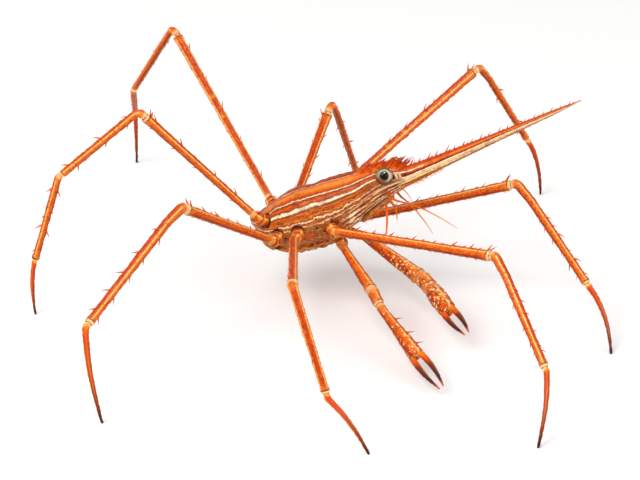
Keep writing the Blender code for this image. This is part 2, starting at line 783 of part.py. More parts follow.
def build_feeler(side, collection):
    """Build one feeler: a stout stump and a fine drooping whip."""
    root, outward = shell_seat(FEELER_STATION, FEELER_ANGLE, side, GAP)
    along, out, up = FEELER_REACH[side]
    reach = BODY_TURN @ to_side(Vector((along, out, up)), side)
    elbow = root + outward * 0.9
    wrist = elbow + reach.normalized() * FEELER_STUMP
    tip = wrist + reach
    sag = Vector((0, 0, -0.6))
    points = [root, elbow, wrist, wrist.lerp(tip, 0.5) - sag, tip]
    mesh = tube_mesh("antenna_" + side, points, FEELER_RADII, 6)
    add_object("antenna_" + side, mesh, collection, "limb")


def build_mouth_plate(side, collection):
    """Build one outer mouth plate under the head, with its palp."""
    rings = []
    for station, half_width in zip(MOUTH_STATIONS, MOUTH_HALF_WIDTHS):
        bottom = smooth_row(SHELL_SECTIONS, station)[3]
        top = bottom - GAP
        ring = []
        for k in range(10):
            turn = 2 * math.pi * k / 10
            out = MOUTH_OUT + half_width * math.cos(turn)
            up = top - MOUTH_THICKNESS / 2 + MOUTH_THICKNESS / 2 * math.sin(turn)
            ring.append(BODY @ to_side(Vector((station, out, up)), side))
        rings.append(ring)
    name = "maxilliped_" + side
    item = add_object(name, loft_mesh(name, rings), collection, "belly")
    last = MOUTH_STATIONS[-1]
    bottom = smooth_row(SHELL_SECTIONS, last)[3]
    start = BODY @ to_side(Vector((last - 0.8, MOUTH_OUT, bottom - GAP - 0.45)), side)
    along, out, up = PALP_REACH[side]
    reach = BODY_TURN @ to_side(Vector((along, out, up)), side)
    path = [start, start + reach * 0.3, start + reach * 0.65, start + reach]
    union_into(item, name + "_joining", [tube_mesh(name + "_palp", path, PALP_RADII, 6)])


def belly_point(station, out, lift):
    """Give a place under the belly, at a depth below the skin along its normal."""
    half_width, _, middle, bottom = smooth_row(SHELL_SECTIONS, station)
    angle = -math.degrees(math.acos(max(-1.0, min(1.0, out / half_width))))
    point = section_point(SHELL_SECTIONS, station, angle)
    return BODY @ (point + section_normal(SHELL_SECTIONS, station, angle) * lift)


def build_flap(collection):
    """Build the ridged tail flap that lies against the belly."""
    inner = []
    outer = []
    for row in range(FLAP_ROWS):
        s = row / (FLAP_ROWS - 1)
        station = FLAP_START + (FLAP_END - FLAP_START) * s
        limit = smooth_row(SHELL_SECTIONS, station)[0] * 0.62
        half_width = min(FLAP_HALF_WIDTH * (1 - 0.45 * s ** 2), limit)
        ridge = FLAP_RIDGE_HEIGHT * abs(math.sin(math.pi * FLAP_RIDGES * s))
        inner_row = []
        outer_row = []
        for column in range(FLAP_COLUMNS):
            w = 2 * column / (FLAP_COLUMNS - 1) - 1
            rim = math.sqrt(max(1 - w * w, 0.0))
            depth = 0.45 + (FLAP_THICKNESS - 0.45 + ridge) * rim
            inner_row.append(belly_point(station, w * half_width, GAP))
            outer_row.append(belly_point(station, w * half_width, GAP + depth))
        inner.append(inner_row)
        outer.append(outer_row)
    rings = [inner_row + list(reversed(outer_row)) for inner_row, outer_row in zip(inner, outer)]
    add_object("abdomen", loft_mesh("abdomen", rings), collection, "belly")


def main():
    """Build the whole animal."""
    clear_scene()
    collection = bpy.data.collections.new(OBJECT_NAME)
    bpy.context.scene.collection.children.link(collection)
    build_shell(collection)
    build_rostrum(collection)
    build_flap(collection)
    for side in ("left", "right"):
        build_eye(side, collection)
        build_feeler(side, collection)
        build_mouth_plate(side, collection)
    for leg in LEGS:
        build_leg(leg, collection)
    for claw in CLAWS:
        build_claw(claw, collection)


main()
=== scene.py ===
"""Dress a life-size arrow crab: striped shell, toothed beak, glassy eyes, claws and thorny legs.

Lengths are in millimetres inside the shape code and become metres as a mesh is stored.
The head looks along +X, the animal's left side is +Y, and the floor is the plane z = 0.
"""

import logging
import math
from dataclasses import dataclass, field, replace
from enum import Enum
from typing import Callable, Optional, Sequence

import bpy
import numpy as np
from mathutils import Matrix


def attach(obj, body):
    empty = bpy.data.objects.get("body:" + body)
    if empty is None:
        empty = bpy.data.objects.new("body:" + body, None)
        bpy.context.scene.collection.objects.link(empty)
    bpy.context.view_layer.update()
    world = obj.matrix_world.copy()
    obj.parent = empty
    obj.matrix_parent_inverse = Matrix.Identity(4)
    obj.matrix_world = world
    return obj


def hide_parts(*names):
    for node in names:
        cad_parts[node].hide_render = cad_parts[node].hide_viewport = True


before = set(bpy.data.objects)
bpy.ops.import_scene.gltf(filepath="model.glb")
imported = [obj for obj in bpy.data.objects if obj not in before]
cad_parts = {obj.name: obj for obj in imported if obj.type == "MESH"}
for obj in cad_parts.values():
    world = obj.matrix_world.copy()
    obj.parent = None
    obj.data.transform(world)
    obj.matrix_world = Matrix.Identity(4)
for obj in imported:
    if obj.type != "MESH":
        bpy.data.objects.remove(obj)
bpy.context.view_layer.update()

LOG = logging.getLogger("arrow_crab")
MM = 0.001
TURN = 2 * math.pi
DEEPEN = 1.15
FORWARD = np.array([1.0, 0.0, 0.0])
Array = np.ndarray
Object = bpy.types.Object
Socket = bpy.types.NodeSocket
Colour = tuple[float, float, float, float]
Stops = Sequence[tuple[float, Colour]]


class Side(Enum):
    """The two sides of the animal."""

    LEFT = "left"
    RIGHT = "right"

    @property
    def flip(self) -> Array:
        """Give the factors that carry a body point of the left side to this side."""
        return np.array([1.0, 1.0 if self is Side.LEFT else -1.0, 1.0])


class Layer(Enum):
    """A piece's material slots: skin, then thorns or a stalk, then hairs, then a dark tip."""

    SKIN = 0
    TRIM = 1
    HAIR = 2
    TIP = 3


def unit(vectors: Array) -> Array:
    """Scale vectors to length one along their last axis."""
    return vectors / np.maximum(np.linalg.norm(vectors, axis=-1, keepdims=True), 1e-9)


def heading_vector(heading: float, rise: float) -> Array:
    """Give the unit vector of a heading from +X and a rise above level, both in degrees."""
    turn, lift = math.radians(heading), math.radians(rise)
    return np.array([math.cos(turn) * math.cos(lift), math.sin(turn) * math.cos(lift), math.sin(lift)])


def smoothstep(low: float, high: float, values: Array) -> Array:
    """Rise from 0 to 1 between two values, as 3t^2 - 2t^3 of the clipped share t."""
    t = np.clip((values - low) / (high - low), 0.0, 1.0)
    return t * t * (3.0 - 2.0 * t)


def bell(values: Array, centre: float, width: float) -> Array:
    """Give a bell curve, exp of minus the squared distance from its centre over its width."""
    return np.exp(-(((values - centre) / width) ** 2))


def ring_angles(count: int) -> Array:
    """Give evenly spaced angles round one turn, in radians."""
    return np.linspace(0, TURN, count, endpoint=False)


def read_vectors(at: Array, marks: Array, vectors: Array) -> Array:
    """Read vectors that are given at rising marks, straight between them."""
    return np.stack([np.interp(at, marks, vectors[:, k]) for k in range(3)], axis=-1)


def bent_line(start: Array, pull: Array, end: Array, t: Array) -> Array:
    """Give a quadratic curve: start times (1 - t)^2, pull times 2t(1 - t) and end times t^2."""
    return start * (1 - t) ** 2 + pull * 2 * t * (1 - t) + end * t ** 2


def ripple(points: Array, wavelength: float, seed: int, waves: int = 14) -> Array:
    """Give a smooth unsteady value between about -1 and 1 at each point.

    The value is the sum of cosines of the points along random directions, with random phases.

    Args:
        points: Places in millimetres, with x, y and z on the last axis.
        wavelength: Rough size of the swells in millimetres.
        seed: Seed of the draw.
        waves: How many cosines are added.

    Returns:
        One value for each point.
    """
    draw = np.random.default_rng(seed)
    ways = unit(draw.normal(size=(waves, 3))) * (TURN / wavelength)
    ways *= draw.uniform(0.6, 1.5, size=(waves, 1))
    phases = draw.uniform(0, TURN, size=waves)
    return np.cos(points @ ways.T + phases).sum(axis=-1) / math.sqrt(waves / 2)


def smooth_table(rows: Sequence[Sequence[float]], stations: Array) -> Array:
    """Read a table of sections with smooth slopes between its rows.

    Between two rows each column follows the cubic that matches both values and the mean slopes
    of the rows on either side.

    Args:
        rows: Rows of a station followed by its values.
        stations: Stations at which the table is read.

    Returns:
        An array with one row for each station and one column for each value.
    """
    table = np.array(rows, dtype=float)
    marks, values = table[:, 0], table[:, 1:]
    at = np.clip(np.asarray(stations, dtype=float), marks[0], marks[-1])
    low = np.clip(np.searchsorted(marks, at, side="right") - 1, 0, len(marks) - 2)
    before, after = np.maximum(low - 1, 0), np.minimum(low + 2, len(marks) - 1)
    span = (marks[low + 1] - marks[low])[..., None]
    t = ((at - marks[low]) / span[..., 0])[..., None]
    slope_in = (values[low + 1] - values[before]) / (marks[low + 1] - marks[before])[..., None]
    slope_out = (values[after] - values[low]) / (marks[after] - marks[low])[..., None]
    return ((2 * t ** 3 - 3 * t ** 2 + 1) * values[low] + (t ** 3 - 2 * t ** 2 + t) * span * slope_in
            + (3 * t ** 2 - 2 * t ** 3) * values[low + 1] + (t ** 3 - t ** 2) * span * slope_out)


@dataclass(frozen=True)
class BodyFrame:
    """Where the tail stands and how the body leans."""

    tail: tuple[float, float, float] = (-13.760, 2.477, 13.7)
    pitch: float = 24.0
    roll: float = -11.0

    @property
    def turn(self) -> Array:
        """Give the turn of the body as a matrix, the roll followed by the pitch.

        Returns:
            The 3 by 3 matrix.
        """
        cp, sp = math.cos(math.radians(self.pitch)), math.sin(math.radians(self.pitch))
        cr, sr = math.cos(math.radians(self.roll)), math.sin(math.radians(self.roll))
        pitch = np.array([[cp, 0, -sp], [0, 1, 0], [sp, 0, cp]])
        return pitch @ np.array([[1, 0, 0], [0, cr, -sr], [0, sr, cr]])

    def place(self, points: Array) -> Array:
        """Turn body points, given as station, out and up, into places in the room."""
        return np.asarray(points) @ self.turn.T + np.array(self.tail)

    def aim(self, vectors: Array) -> Array:
        """Turn body directions into directions in the room."""
        return np.asarray(vectors) @ self.turn.T


BODY = BodyFrame()


@dataclass(frozen=True)
class BodyForm:
    """Sections of the shell and beak and the seats of the limbs, as the solids have them.

    A section holds its station, half width, top, widest height and bottom. A seat holds its
    station and its angle round the section.
    """

    shell_end: float = 28.15
    tip: float = 60.0
    gap: float = 0.3
    sections: tuple[tuple[float, ...], ...] = (
        (0.0, 0.5, -0.3, -0.9, -1.5), (1.2, 2.4, 0.1, -1.8, -4.0), (3.0, 4.3, 0.6, -2.4, -5.6),
        (6.0, 5.9, 1.4, -3.0, -6.9), (9.5, 6.4, 1.9, -3.4, -7.4), (13.0, 5.8, 1.8, -3.4, -7.6),
        (17.0, 4.4, 1.5, -3.0, -6.9), (20.5, 3.2, 1.4, -2.4, -5.5), (23.5, 2.4, 1.1, -1.8, -4.6),
        (26.0, 1.9, 0.4, -1.8, -4.2), (28.3, 1.52, -0.58, -2.03, -3.88), (31.0, 1.3, -0.75, -1.9, -3.45),
        (36.0, 1.08, -0.7, -1.6, -2.8), (44.0, 0.8, -0.5, -1.05, -1.9), (52.0, 0.56, -0.22, -0.55, -1.05),
        (57.0, 0.36, -0.05, -0.25, -0.52), (60.0, 0.08, 0.05, -0.05, -0.14))
    seats: tuple[tuple[float, float], ...] = ((13.9, -64.0), (14.0, -30.0), (8.8, -14.0),
                                              (5.3, -14.0), (3.6, 30.0))
    slope_reach: float = 0.3
    slope_turn: float = 3.0

    def skin(self, stations: Array, angles: Array) -> Array:
        """Give body points on the skin.

        Each section is two half ellipses that meet at the widest height: sideways it is the half
        width times the cosine of the angle, and up or down the depth times its sine.

        Args:
            stations: Distance from the tail along the body axis.
            angles: Angle round the section in degrees, 0 at the left edge and 90 on top.

        Returns:
            Points as station, out and up on the last axis.
        """
        stations, angles = np.broadcast_arrays(np.asarray(stations, float), np.asarray(angles, float))
        width, top, middle, bottom = np.moveaxis(smooth_table(self.sections, stations), -1, 0)
        rise = np.sin(np.radians(angles))
        up = middle + np.where(rise > 0, top - middle, middle - bottom) * rise
        return np.stack([stations, width * np.cos(np.radians(angles)), up], axis=-1)

    def normal(self, stations: Array, angles: Array) -> Array:
        """Give the outward direction of the skin, from its slopes along and around.

        Args:
            stations: Distance from the tail along the body axis.
            angles: Angle round the section in degrees.

        Returns:
            Unit body vectors on the last axis.
        """
        reach, turn = self.slope_reach, self.slope_turn
        along = self.skin(stations + reach, angles) - self.skin(stations - reach, angles)
        around = self.skin(stations, angles + turn) - self.skin(stations, angles - turn)
        return unit(np.cross(around, along))

    def seat(self, pair: int, side: Side, lift: float) -> tuple[Array, Array]:
        """Give the place and outward direction of a limb seat, lifted off the shell.

        Args:
            pair: 0 for the claws and 1 to 4 for the legs.
            side: Side of the limb.
            lift: Height above the shell in millimetres.

        Returns:
            The place and the unit direction in the room.
        """
        station, angle = self.seats[pair]
        normal = self.normal(station, angle)
        place = BODY.place((self.skin(station, angle) + normal * lift) * side.flip)
        return place, BODY.aim(normal * side.flip)


FORM = BodyForm()


@dataclass
class Run:
    """A centre line with a steady frame of directions along it."""

    points: Array
    along: Array
    outer: Array
    side: Array
    travelled: Array

    @classmethod
    def through(cls, corners: Array, count: int, pole: Array) -> "Run":
        """Lay an evenly spaced centre line through a fine polyline.

        Args:
            corners: Points of the polyline in millimetres.
            count: How many points the line gets.
            pole: A direction that stays roughly square to the line, which steadies the frame.

        Returns:
            The line with its directions and the distance travelled.
        """
        corners = np.asarray(corners, dtype=float)
        marks = np.concatenate([[0.0], np.cumsum(np.linalg.norm(np.diff(corners, axis=0), axis=1))])
        travelled = np.linspace(0.0, marks[-1], count)
        points = read_vectors(travelled, marks, corners)
        along = unit(np.gradient(points, axis=0))
        side = unit(pole - (along @ pole)[:, None] * along)
        return cls(points, along, unit(np.cross(side, along)), side, travelled)

    @property
    def length(self) -> float:
        """Give the length of the line."""
        return float(self.travelled[-1])

    @property
    def share(self) -> Array:
        """Give how far along each point lies, from 0 to 1."""
        return self.travelled / self.length

    def spread(self, values: Sequence[float]) -> Array:
        """Share named values out evenly along the line, straight between them."""
        return np.interp(self.share, np.linspace(0, 1, len(values)), values)

    def ways(self, sides: int) -> Array:
        """Give outward directions, the side way times the cosine plus the outer way times the sine."""
        turn = ring_angles(sides)[None, :, None]
        return self.side[:, None] * np.cos(turn) + self.outer[:, None] * np.sin(turn)

    def rings(self, radius: Array, sides: int) -> Array:
        """Give ring points round the line: the line plus each outward direction times the radius."""
        return self.points[:, None] + self.ways(sides) * radius[:, None, None]

    def at(self, distances: Array) -> tuple[Array, Array, Array, Array]:
        """Read the line at distances along it.

        Args:
            distances: Distances from its start in millimetres.

        Returns:
            Place, direction, outer way and side way at each distance.
        """
        place, along, outer, side = (read_vectors(distances, self.travelled, values)
                                     for values in (self.points, self.along, self.outer, self.side))
        return place, unit(along), unit(outer), unit(side)


@dataclass(frozen=True)
class Spines:
    """Many thorns or hairs: where each starts, how it runs and how thick it is."""

    roots: Array
    ways: Array
    bends: Array
    lengths: Array
    bases: Array
    layer: Layer = Layer.TRIM
    rings: int = 4
    sides: int = 6


def tube_faces(rings: int, columns: int) -> tuple[Array, Array, Array, Array]:
    """Number the faces of a tube whose two end points come after its rings.

    Args:
        rings: Rings along the tube.
        columns: Points round a ring.

    Returns:
        The four-cornered faces, the three-cornered end faces, and the ring and the column at which
        each four-cornered face starts.
    """
    i, j = np.divmod(np.arange((rings - 1) * columns), columns)
    k = (j + 1) % columns
    quads = np.stack([i * columns + j, i * columns + k, (i + 1) * columns + k, (i + 1) * columns + j], -1)
    ring = np.arange(columns)
    after, last, middle = (ring + 1) % columns, (rings - 1) * columns, rings * columns
    ends = np.concatenate([np.stack([after, ring, np.full(columns, middle)], -1),
                           np.stack([last + ring, last + after, np.full(columns, middle + 1)], -1)])
    return quads, ends, i, j


class Skin:
    """Collects closed surfaces and stores them as one mesh.

    Every point carries three marks: its distance from the start of the piece, its distance to the
    end, and a tone from 0 to 1.
    """

    plain_length: float = 5.0
    plain_tone: float = 0.5
    spine_shaft: float = 0.86
    spine_taper: float = 0.8

    def __init__(self) -> None:
        """Start with nothing."""
        self.points: list[Array] = []
        self.marks: list[Array] = []
        self.faces: list[tuple[Array, Array, int]] = []
        self.count = 0

    def add(self, points: Array, groups: Sequence[tuple[Array, Array]], layer: Layer,
            lengths: Optional[Array] = None, tone: Optional[Array] = None) -> None:
        """Add one closed surface, turned outwards.

        The surface is turned round if the volume under its faces, seen from its middle, is negative.

        Args:
            points: Vertices in millimetres.
            groups: Pairs of faces, as rows of vertex numbers, and a UV place for each corner.
            layer: Material slot of the faces.
            lengths: Distance from the start and to the end of the piece for each vertex.
            tone: A shade value from 0 to 1 for each vertex.
        """
        points = points.reshape(-1, 3)
        centred = points - points.mean(axis=0)
        volume = 0.0
        for faces, _ in groups:
            for k in range(1, faces.shape[1] - 1):
                across = np.cross(centred[faces[:, k]], centred[faces[:, k + 1]])
                volume += float(np.einsum("ij,ij->", centred[faces[:, 0]], across))
        for faces, uv in groups:
            if volume < 0:
                faces, uv = faces[:, ::-1], uv[:, ::-1]
            self.faces.append((faces + self.count, uv, layer.value))
        marks = np.full((len(points), 3), self.plain_length)
        marks[:, 2] = self.plain_tone if tone is None else tone
        if lengths is not None:
            marks[:, :2] = lengths
        self.points.append(points)
        self.marks.append(marks)
        self.count += len(points)

    def add_tube(self, grid: Array, layer: Layer, u: Array, travelled: Optional[Array] = None,
                 fold: Optional[Array] = None, tone: Optional[Array] = None) -> None:
        """Add a tube given as a grid of rings, closed round and by a fan at both ends.

        Args:
            grid: Ring points, with ring, place round the ring, and x, y, z as axes.
            layer: Material slot of the faces.
            u: UV place along the tube of each ring.
            travelled: Distance along the piece of each ring, in millimetres.
            fold: UV place round the tube of each column and its repeat; evenly spaced if absent.
            tone: A shade value for each ring, or for each point of the grid.
        """
        rings, columns = grid.shape[:2]
        v = np.linspace(0, 1, columns + 1) if fold is None else fold
        quads, ends, i, j = tube_faces(rings, columns)
        quad_uv = np.stack([u[i], v[j], u[i], v[j + 1], u[i + 1], v[j + 1], u[i + 1], v[j]], axis=-1)
        low, high, middle = v[:-1], v[1:], (v[:-1] + v[1:]) / 2
        end_v = np.concatenate([np.stack([high, low, middle], -1), np.stack([low, high, middle], -1)])
        end_u = np.repeat([u[0], u[-1]], columns)[:, None] * np.ones(3)
        points = np.concatenate([grid.reshape(-1, 3), grid[[0, -1]].mean(axis=1)])
        lengths = None
        if travelled is not None:
            total = travelled[-1]
            per_ring = np.repeat(np.stack([travelled, total - travelled], -1), columns, axis=0)
            lengths = np.concatenate([per_ring, [[0.0, total], [total, 0.0]]])
        if tone is not None:
            full = np.broadcast_to(tone[:, None] if tone.ndim == 1 else tone, (rings, columns))
            tone = np.concatenate([full.ravel(), [full[0].mean(), full[-1].mean()]])
        groups = [(quads, quad_uv.reshape(-1, 4, 2)), (ends, np.stack([end_u, end_v], axis=-1))]
        self.add(points, groups, layer, lengths, tone)

    def add_spines(self, spines: Spines) -> None:
        """Add many curved tapering thorns or hairs at once.

        A spine's middle line is root + way * length * t + bend * length * t^2, and its thickness
        is base * (1 - t)^0.8 with t from 0 at the root to 1 at the tip.

        Args:
            spines: Places, directions and sizes, each root sunk a little below the skin.
        """
        count, rings, sides = len(spines.roots), spines.rings, spines.sides
        roots, ways = spines.roots, spines.ways
        bends = np.broadcast_to(spines.bends, ways.shape)
        t = np.linspace(0.0, self.spine_shaft, rings)
        helper = np.where(np.abs(ways[:, 2:3]) < 0.8, [[0.0, 0.0, 1.0]], [[1.0, 0.0, 0.0]])
        first = unit(np.cross(ways, helper))[:, None]
        second = np.cross(ways, first[:, 0])[:, None]
        reach = spines.lengths[:, None, None]
        middle = (roots[:, None] + ways[:, None] * reach * t[None, :, None]
                  + bends[:, None] * reach * (t ** 2)[None, :, None])
        width = spines.bases[:, None] * (1 - t[None]) ** self.spine_taper
        turn = ring_angles(sides)[None, :, None]
        ring = first * np.cos(turn) + second * np.sin(turn)
        grid = middle[:, :, None] + width[:, :, None, None] * ring[:, None]
        tips = roots + (ways + bends) * spines.lengths[:, None]
        points = np.concatenate([grid.reshape(count, -1, 3), roots[:, None], tips[:, None]], axis=1)
        quads, ends, i, _ = tube_faces(rings, sides)
        zero, one = np.zeros(len(i)), np.ones(len(i))
        quad_uv = np.stack([t[i], zero, t[i], one, t[i + 1], one, t[i + 1], zero], -1).reshape(-1, 4, 2)
        end_u = np.concatenate([np.zeros((sides, 3)), np.tile([t[-1], t[-1], 1.0], (sides, 1))])
        end_uv = np.stack([end_u, np.full_like(end_u, 0.5)], axis=-1)
        offset = (np.arange(count) * points.shape[1])[:, None, None]
        self.add(points, [((quads + offset).reshape(-1, 4), np.tile(quad_uv, (count, 1, 1))),
                          ((ends + offset).reshape(-1, 3), np.tile(end_uv, (count, 1, 1)))], spines.layer)

    def build(self, name: str, finishes: Sequence[bpy.types.Material]) -> Object:
        """Store the surfaces as an object that stands at the origin.

        Args:
            name: Name of the object and its mesh.
            finishes: Materials in slot order.

        Returns:
            The new object, linked to the scene.
        """
        points = np.concatenate(self.points) * MM
        marks = np.concatenate(self.marks).astype(np.float32)
        corners = np.concatenate([faces.ravel() for faces, _, _ in self.faces])
        sizes = np.concatenate([np.full(len(faces), faces.shape[1]) for faces, _, _ in self.faces])
        slots = np.concatenate([np.full(len(faces), slot) for faces, _, slot in self.faces])
        uv = np.concatenate([place.reshape(-1, 2) for _, place, _ in self.faces])
        mesh = bpy.data.meshes.new(name)
        mesh.vertices.add(len(points))
        mesh.vertices.foreach_set("co", points.ravel())
        mesh.loops.add(len(corners))
        mesh.loops.foreach_set("vertex_index", corners.astype(np.int32))
        mesh.polygons.add(len(sizes))
        mesh.polygons.foreach_set("loop_start", (np.cumsum(sizes) - sizes).astype(np.int32))
        mesh.polygons.foreach_set("material_index", slots.astype(np.int32))
        mesh.polygons.foreach_set("use_smooth", np.ones(len(sizes), dtype=bool))
        mesh.uv_layers.new(name="Skin").data.foreach_set("uv", uv.ravel())
        for column, title in enumerate(("from_start", "to_end", "tone")):
            store = mesh.attributes.new(title, "FLOAT", "POINT")
            store.data.foreach_set("value", np.ascontiguousarray(marks[:, column]))
        for finish in finishes:
            mesh.materials.append(finish)
        mesh.update(calc_edges=True)
        mesh.validate()
        piece = bpy.data.objects.new(name, mesh)
        bpy.context.scene.collection.objects.link(piece)
        return piece


class Hull:
    """The plain skin of the shell or the beak as a grid, ready to be raised into its relief."""

    def __init__(self, stations: Array, columns: int) -> None:
        """Work out places, normals and folded angles on the grid.

        The folded angle is 0 under the belly, a half at the widest line and 1 along the back.

        Args:
            stations: Stations of the rings.
            columns: Points round a ring.
        """
        angles = np.linspace(0, 360, columns, endpoint=False)
        self.stations = stations
        self.st, angles = np.meshgrid(stations, angles, indexing="ij")
        self.points, self.normals = FORM.skin(self.st, angles), FORM.normal(self.st, angles)
        self.fold = np.degrees(np.arcsin(np.sin(np.radians(angles)))) / 180 + 0.5

    def raise_into(self, skin: Skin, lift: Array, tone: Optional[Array] = None) -> None:
        """Add the surface, moved along its normals.

        Args:
            skin: Surfaces of the piece.
            lift: How far each point of the grid moves.
            tone: Shade value of each point of the grid.
        """
        skin.add_tube(BODY.place(self.points + self.normals * lift[..., None]), Layer.SKIN,
                      self.stations / FORM.tip, None, np.append(self.fold[0], self.fold[0][0]), tone)


def show(skin: Skin, node: str, finishes: Sequence[bpy.types.Material]) -> Object:
    """Build a piece and set it on the frame in place of its solid.

    Args:
        skin: Surfaces of the piece.
        node: Name of the solid that the piece stands for.
        finishes: Materials in slot order.

    Returns:
        The new object.
    """
    piece = skin.build(node + "_dress", finishes)
    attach(piece, "root")
    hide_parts(node)
    return piece


def linear(red: int, green: int, blue: int) -> Colour:
    """Turn a colour of 0 to 255 values into the linear colour that shaders use.

    The result is raised to a power, which deepens it against the pale light of the room.

    Args:
        red: Red from 0 to 255.
        green: Green from 0 to 255.
        blue: Blue from 0 to 255.

    Returns:
        Red, green, blue and alpha from 0 to 1.
    """
    parts = np.array([red, green, blue]) / 255.0
    low, high = parts / 12.92, ((parts + 0.055) / 1.055) ** 2.4
    return (*(float(x) for x in np.where(parts <= 0.04045, low, high) ** DEEPEN), 1.0)


@dataclass(frozen=True)
class Palette:
    """The animal's colours."""

    white: Colour = linear(253, 236, 206)
    cream: Colour = linear(246, 220, 176)
    pale_yellow: Colour = linear(250, 196, 96)
    gold: Colour = linear(238, 150, 56)
    light_orange: Colour = linear(238, 142, 44)
    orange: Colour = linear(226, 102, 8)
    deep_orange: Colour = linear(198, 74, 2)
    red_orange: Colour = linear(212, 70, 4)
    red: Colour = linear(172, 42, 2)
    rust: Colour = linear(142, 48, 8)
    brown: Colour = linear(112, 50, 16)
    dark_rust: Colour = linear(92, 26, 8)
    umber: Colour = linear(52, 20, 10)
    ochre: Colour = linear(190, 112, 36)
    tan: Colour = linear(216, 162, 92)
    rose: Colour = linear(190, 96, 70)
    pink: Colour = linear(250, 200, 170)
    # Colour of the painted highlight line along the limbs.
    highlight_straw: Colour = linear(252, 208, 130)


TONE = Palette()
BACK_STOPS: Stops = (
    (0.540, TONE.ochre), (0.556, TONE.deep_orange), (0.570, TONE.gold), (0.578, TONE.brown),
    (0.588, TONE.deep_orange), (0.597, TONE.umber), (0.603, TONE.cream), (0.628, TONE.white),
    (0.635, TONE.dark_rust), (0.646, TONE.deep_orange), (0.666, TONE.orange), (0.686, TONE.deep_orange),
    (0.703, TONE.dark_rust), (0.709, TONE.cream), (0.719, TONE.cream), (0.725, TONE.rust),
    (0.738, TONE.deep_orange), (0.762, TONE.orange), (0.790, TONE.gold), (0.830, TONE.gold),
    (0.862, TONE.orange), (0.869, TONE.dark_rust), (0.874, TONE.pink), (0.882, TONE.pink),
    (0.888, TONE.dark_rust), (0.900, TONE.rust), (0.93, TONE.deep_orange), (1.0, TONE.rust))
FLANK_STOPS: Stops = (
    (0.0, TONE.tan), (0.33, TONE.ochre), (0.37, TONE.tan), (0.390, TONE.brown), (0.402, TONE.ochre),
    (0.414, TONE.brown), (0.420, TONE.tan), (0.430, TONE.cream), (0.436, TONE.brown), (0.455, TONE.orange),
    (0.468, TONE.dark_rust), (0.475, TONE.cream), (0.486, TONE.cream), (0.492, TONE.dark_rust),
    (0.506, TONE.orange), (0.520, TONE.gold), (0.530, TONE.brown), (0.540, TONE.orange),
    (0.560, TONE.deep_orange))
# Belly lump colours by height up a lump: painted shade in umber and rust down in the creases, ochre and tan
# higher up.
LUMP_SHADE_STOPS: Stops = (
    (0.0, TONE.umber), (0.14, TONE.umber), (0.26, TONE.rust), (0.36, TONE.tan), (0.48, TONE.ochre),
    (0.66, linear(150, 88, 34)), (0.85, TONE.ochre), (1.0, TONE.tan))
THROAT_STOPS: Stops = (
    (0.05, TONE.dark_rust), (0.20, TONE.brown), (0.34, TONE.rose), (0.44, TONE.ochre), (0.56, TONE.tan),
    (0.70, TONE.cream), (0.95, TONE.white))
BEAK_STOPS: Stops = (
    (0.0, TONE.ochre), (0.09, TONE.ochre), (0.140, TONE.gold), (0.160, TONE.brown), (0.190, TONE.brown),
    (0.205, TONE.pale_yellow), (0.25, TONE.cream), (0.335, TONE.cream), (0.350, TONE.ochre),
    (0.365, TONE.white), (0.430, TONE.pale_yellow), (0.450, TONE.cream), (0.482, TONE.white),
    (0.498, TONE.dark_rust), (0.510, TONE.umber), (0.532, TONE.umber), (0.545, TONE.red),
    (0.575, TONE.red_orange), (0.615, TONE.orange), (0.70, TONE.light_orange), (0.80, TONE.red_orange),
    (1.0, TONE.red_orange))
ORBIT_STOPS: Stops = (
    (0.0, TONE.dark_rust), (0.22, TONE.umber), (0.25, TONE.cream), (0.32, TONE.cream), (0.36, TONE.red),
    (0.44, TONE.cream), (0.50, TONE.red), (0.60, TONE.dark_rust))
# Painted light and shade round a limb: rust near the underside, a lighter painted highlight band above the
# middle, deep orange along the top edge.
LIMB_SHADING_STOPS: Stops = (
    (0.02, TONE.ochre), (0.12, TONE.rust), (0.24, TONE.deep_orange), (0.36, TONE.orange),
    (0.54, TONE.orange), (0.68, TONE.light_orange), (0.78, TONE.orange), (0.90, TONE.orange),
    (1.0, TONE.deep_orange))
TOE_STOPS: Stops = (
    (0.0, TONE.cream), (0.045, TONE.pale_yellow), (0.075, TONE.orange), (0.14, TONE.red_orange),
    (0.40, linear(200, 86, 28)), (0.66, linear(172, 74, 28)), (0.86, linear(124, 54, 24)),
    (0.98, linear(82, 36, 18)))
FINGER_STOPS: Stops = (
    (0.0, TONE.light_orange), (0.24, TONE.orange), (0.40, TONE.rust), (0.54, linear(110, 54, 36)),
    (0.68, linear(84, 44, 38)), (0.82, linear(88, 42, 32)), (0.90, linear(160, 70, 34)),
    (0.98, linear(222, 112, 56)))
THORN_STOPS: Stops = (
    (0.0, TONE.light_orange), (0.35, TONE.orange), (0.75, TONE.deep_orange), (1.0, TONE.rust))
TOOTH_STOPS: Stops = ((0.0, TONE.cream), (0.4, TONE.gold), (0.9, TONE.brown))
HAIR_STOPS: Stops = ((0.0, TONE.red_orange), (0.5, TONE.light_orange), (1.0, TONE.pale_yellow))
BELLY_STOPS: Stops = (
    (0.32, TONE.umber), (0.40, TONE.brown), (0.46, TONE.ochre), (0.53, TONE.tan), (0.58, TONE.rose),
    (0.66, TONE.brown))
FEELER_STOPS: Stops = ((0.0, TONE.deep_orange), (0.25, TONE.orange), (1.0, TONE.light_orange))
STALK_STOPS: Stops = ((0.25, TONE.rust), (0.5, TONE.orange), (0.85, TONE.cream))
EYE_STOPS: Stops = (
    (0.0, linear(3, 3, 3)), (0.138, linear(4, 3, 3)), (0.158, linear(62, 38, 22)),
    (0.185, linear(150, 112, 74)), (0.210, linear(214, 202, 166)), (0.258, linear(176, 170, 134)),
    (0.276, linear(130, 120, 88)), (0.288, linear(78, 56, 36)), (0.302, linear(196, 188, 154)),
    (0.322, linear(132, 124, 92)), (0.336, linear(48, 36, 24)), (0.350, linear(12, 8, 5)),
    (0.520, linear(26, 16, 10)), (0.560, TONE.rust), (0.64, TONE.orange), (1.0, TONE.deep_orange))


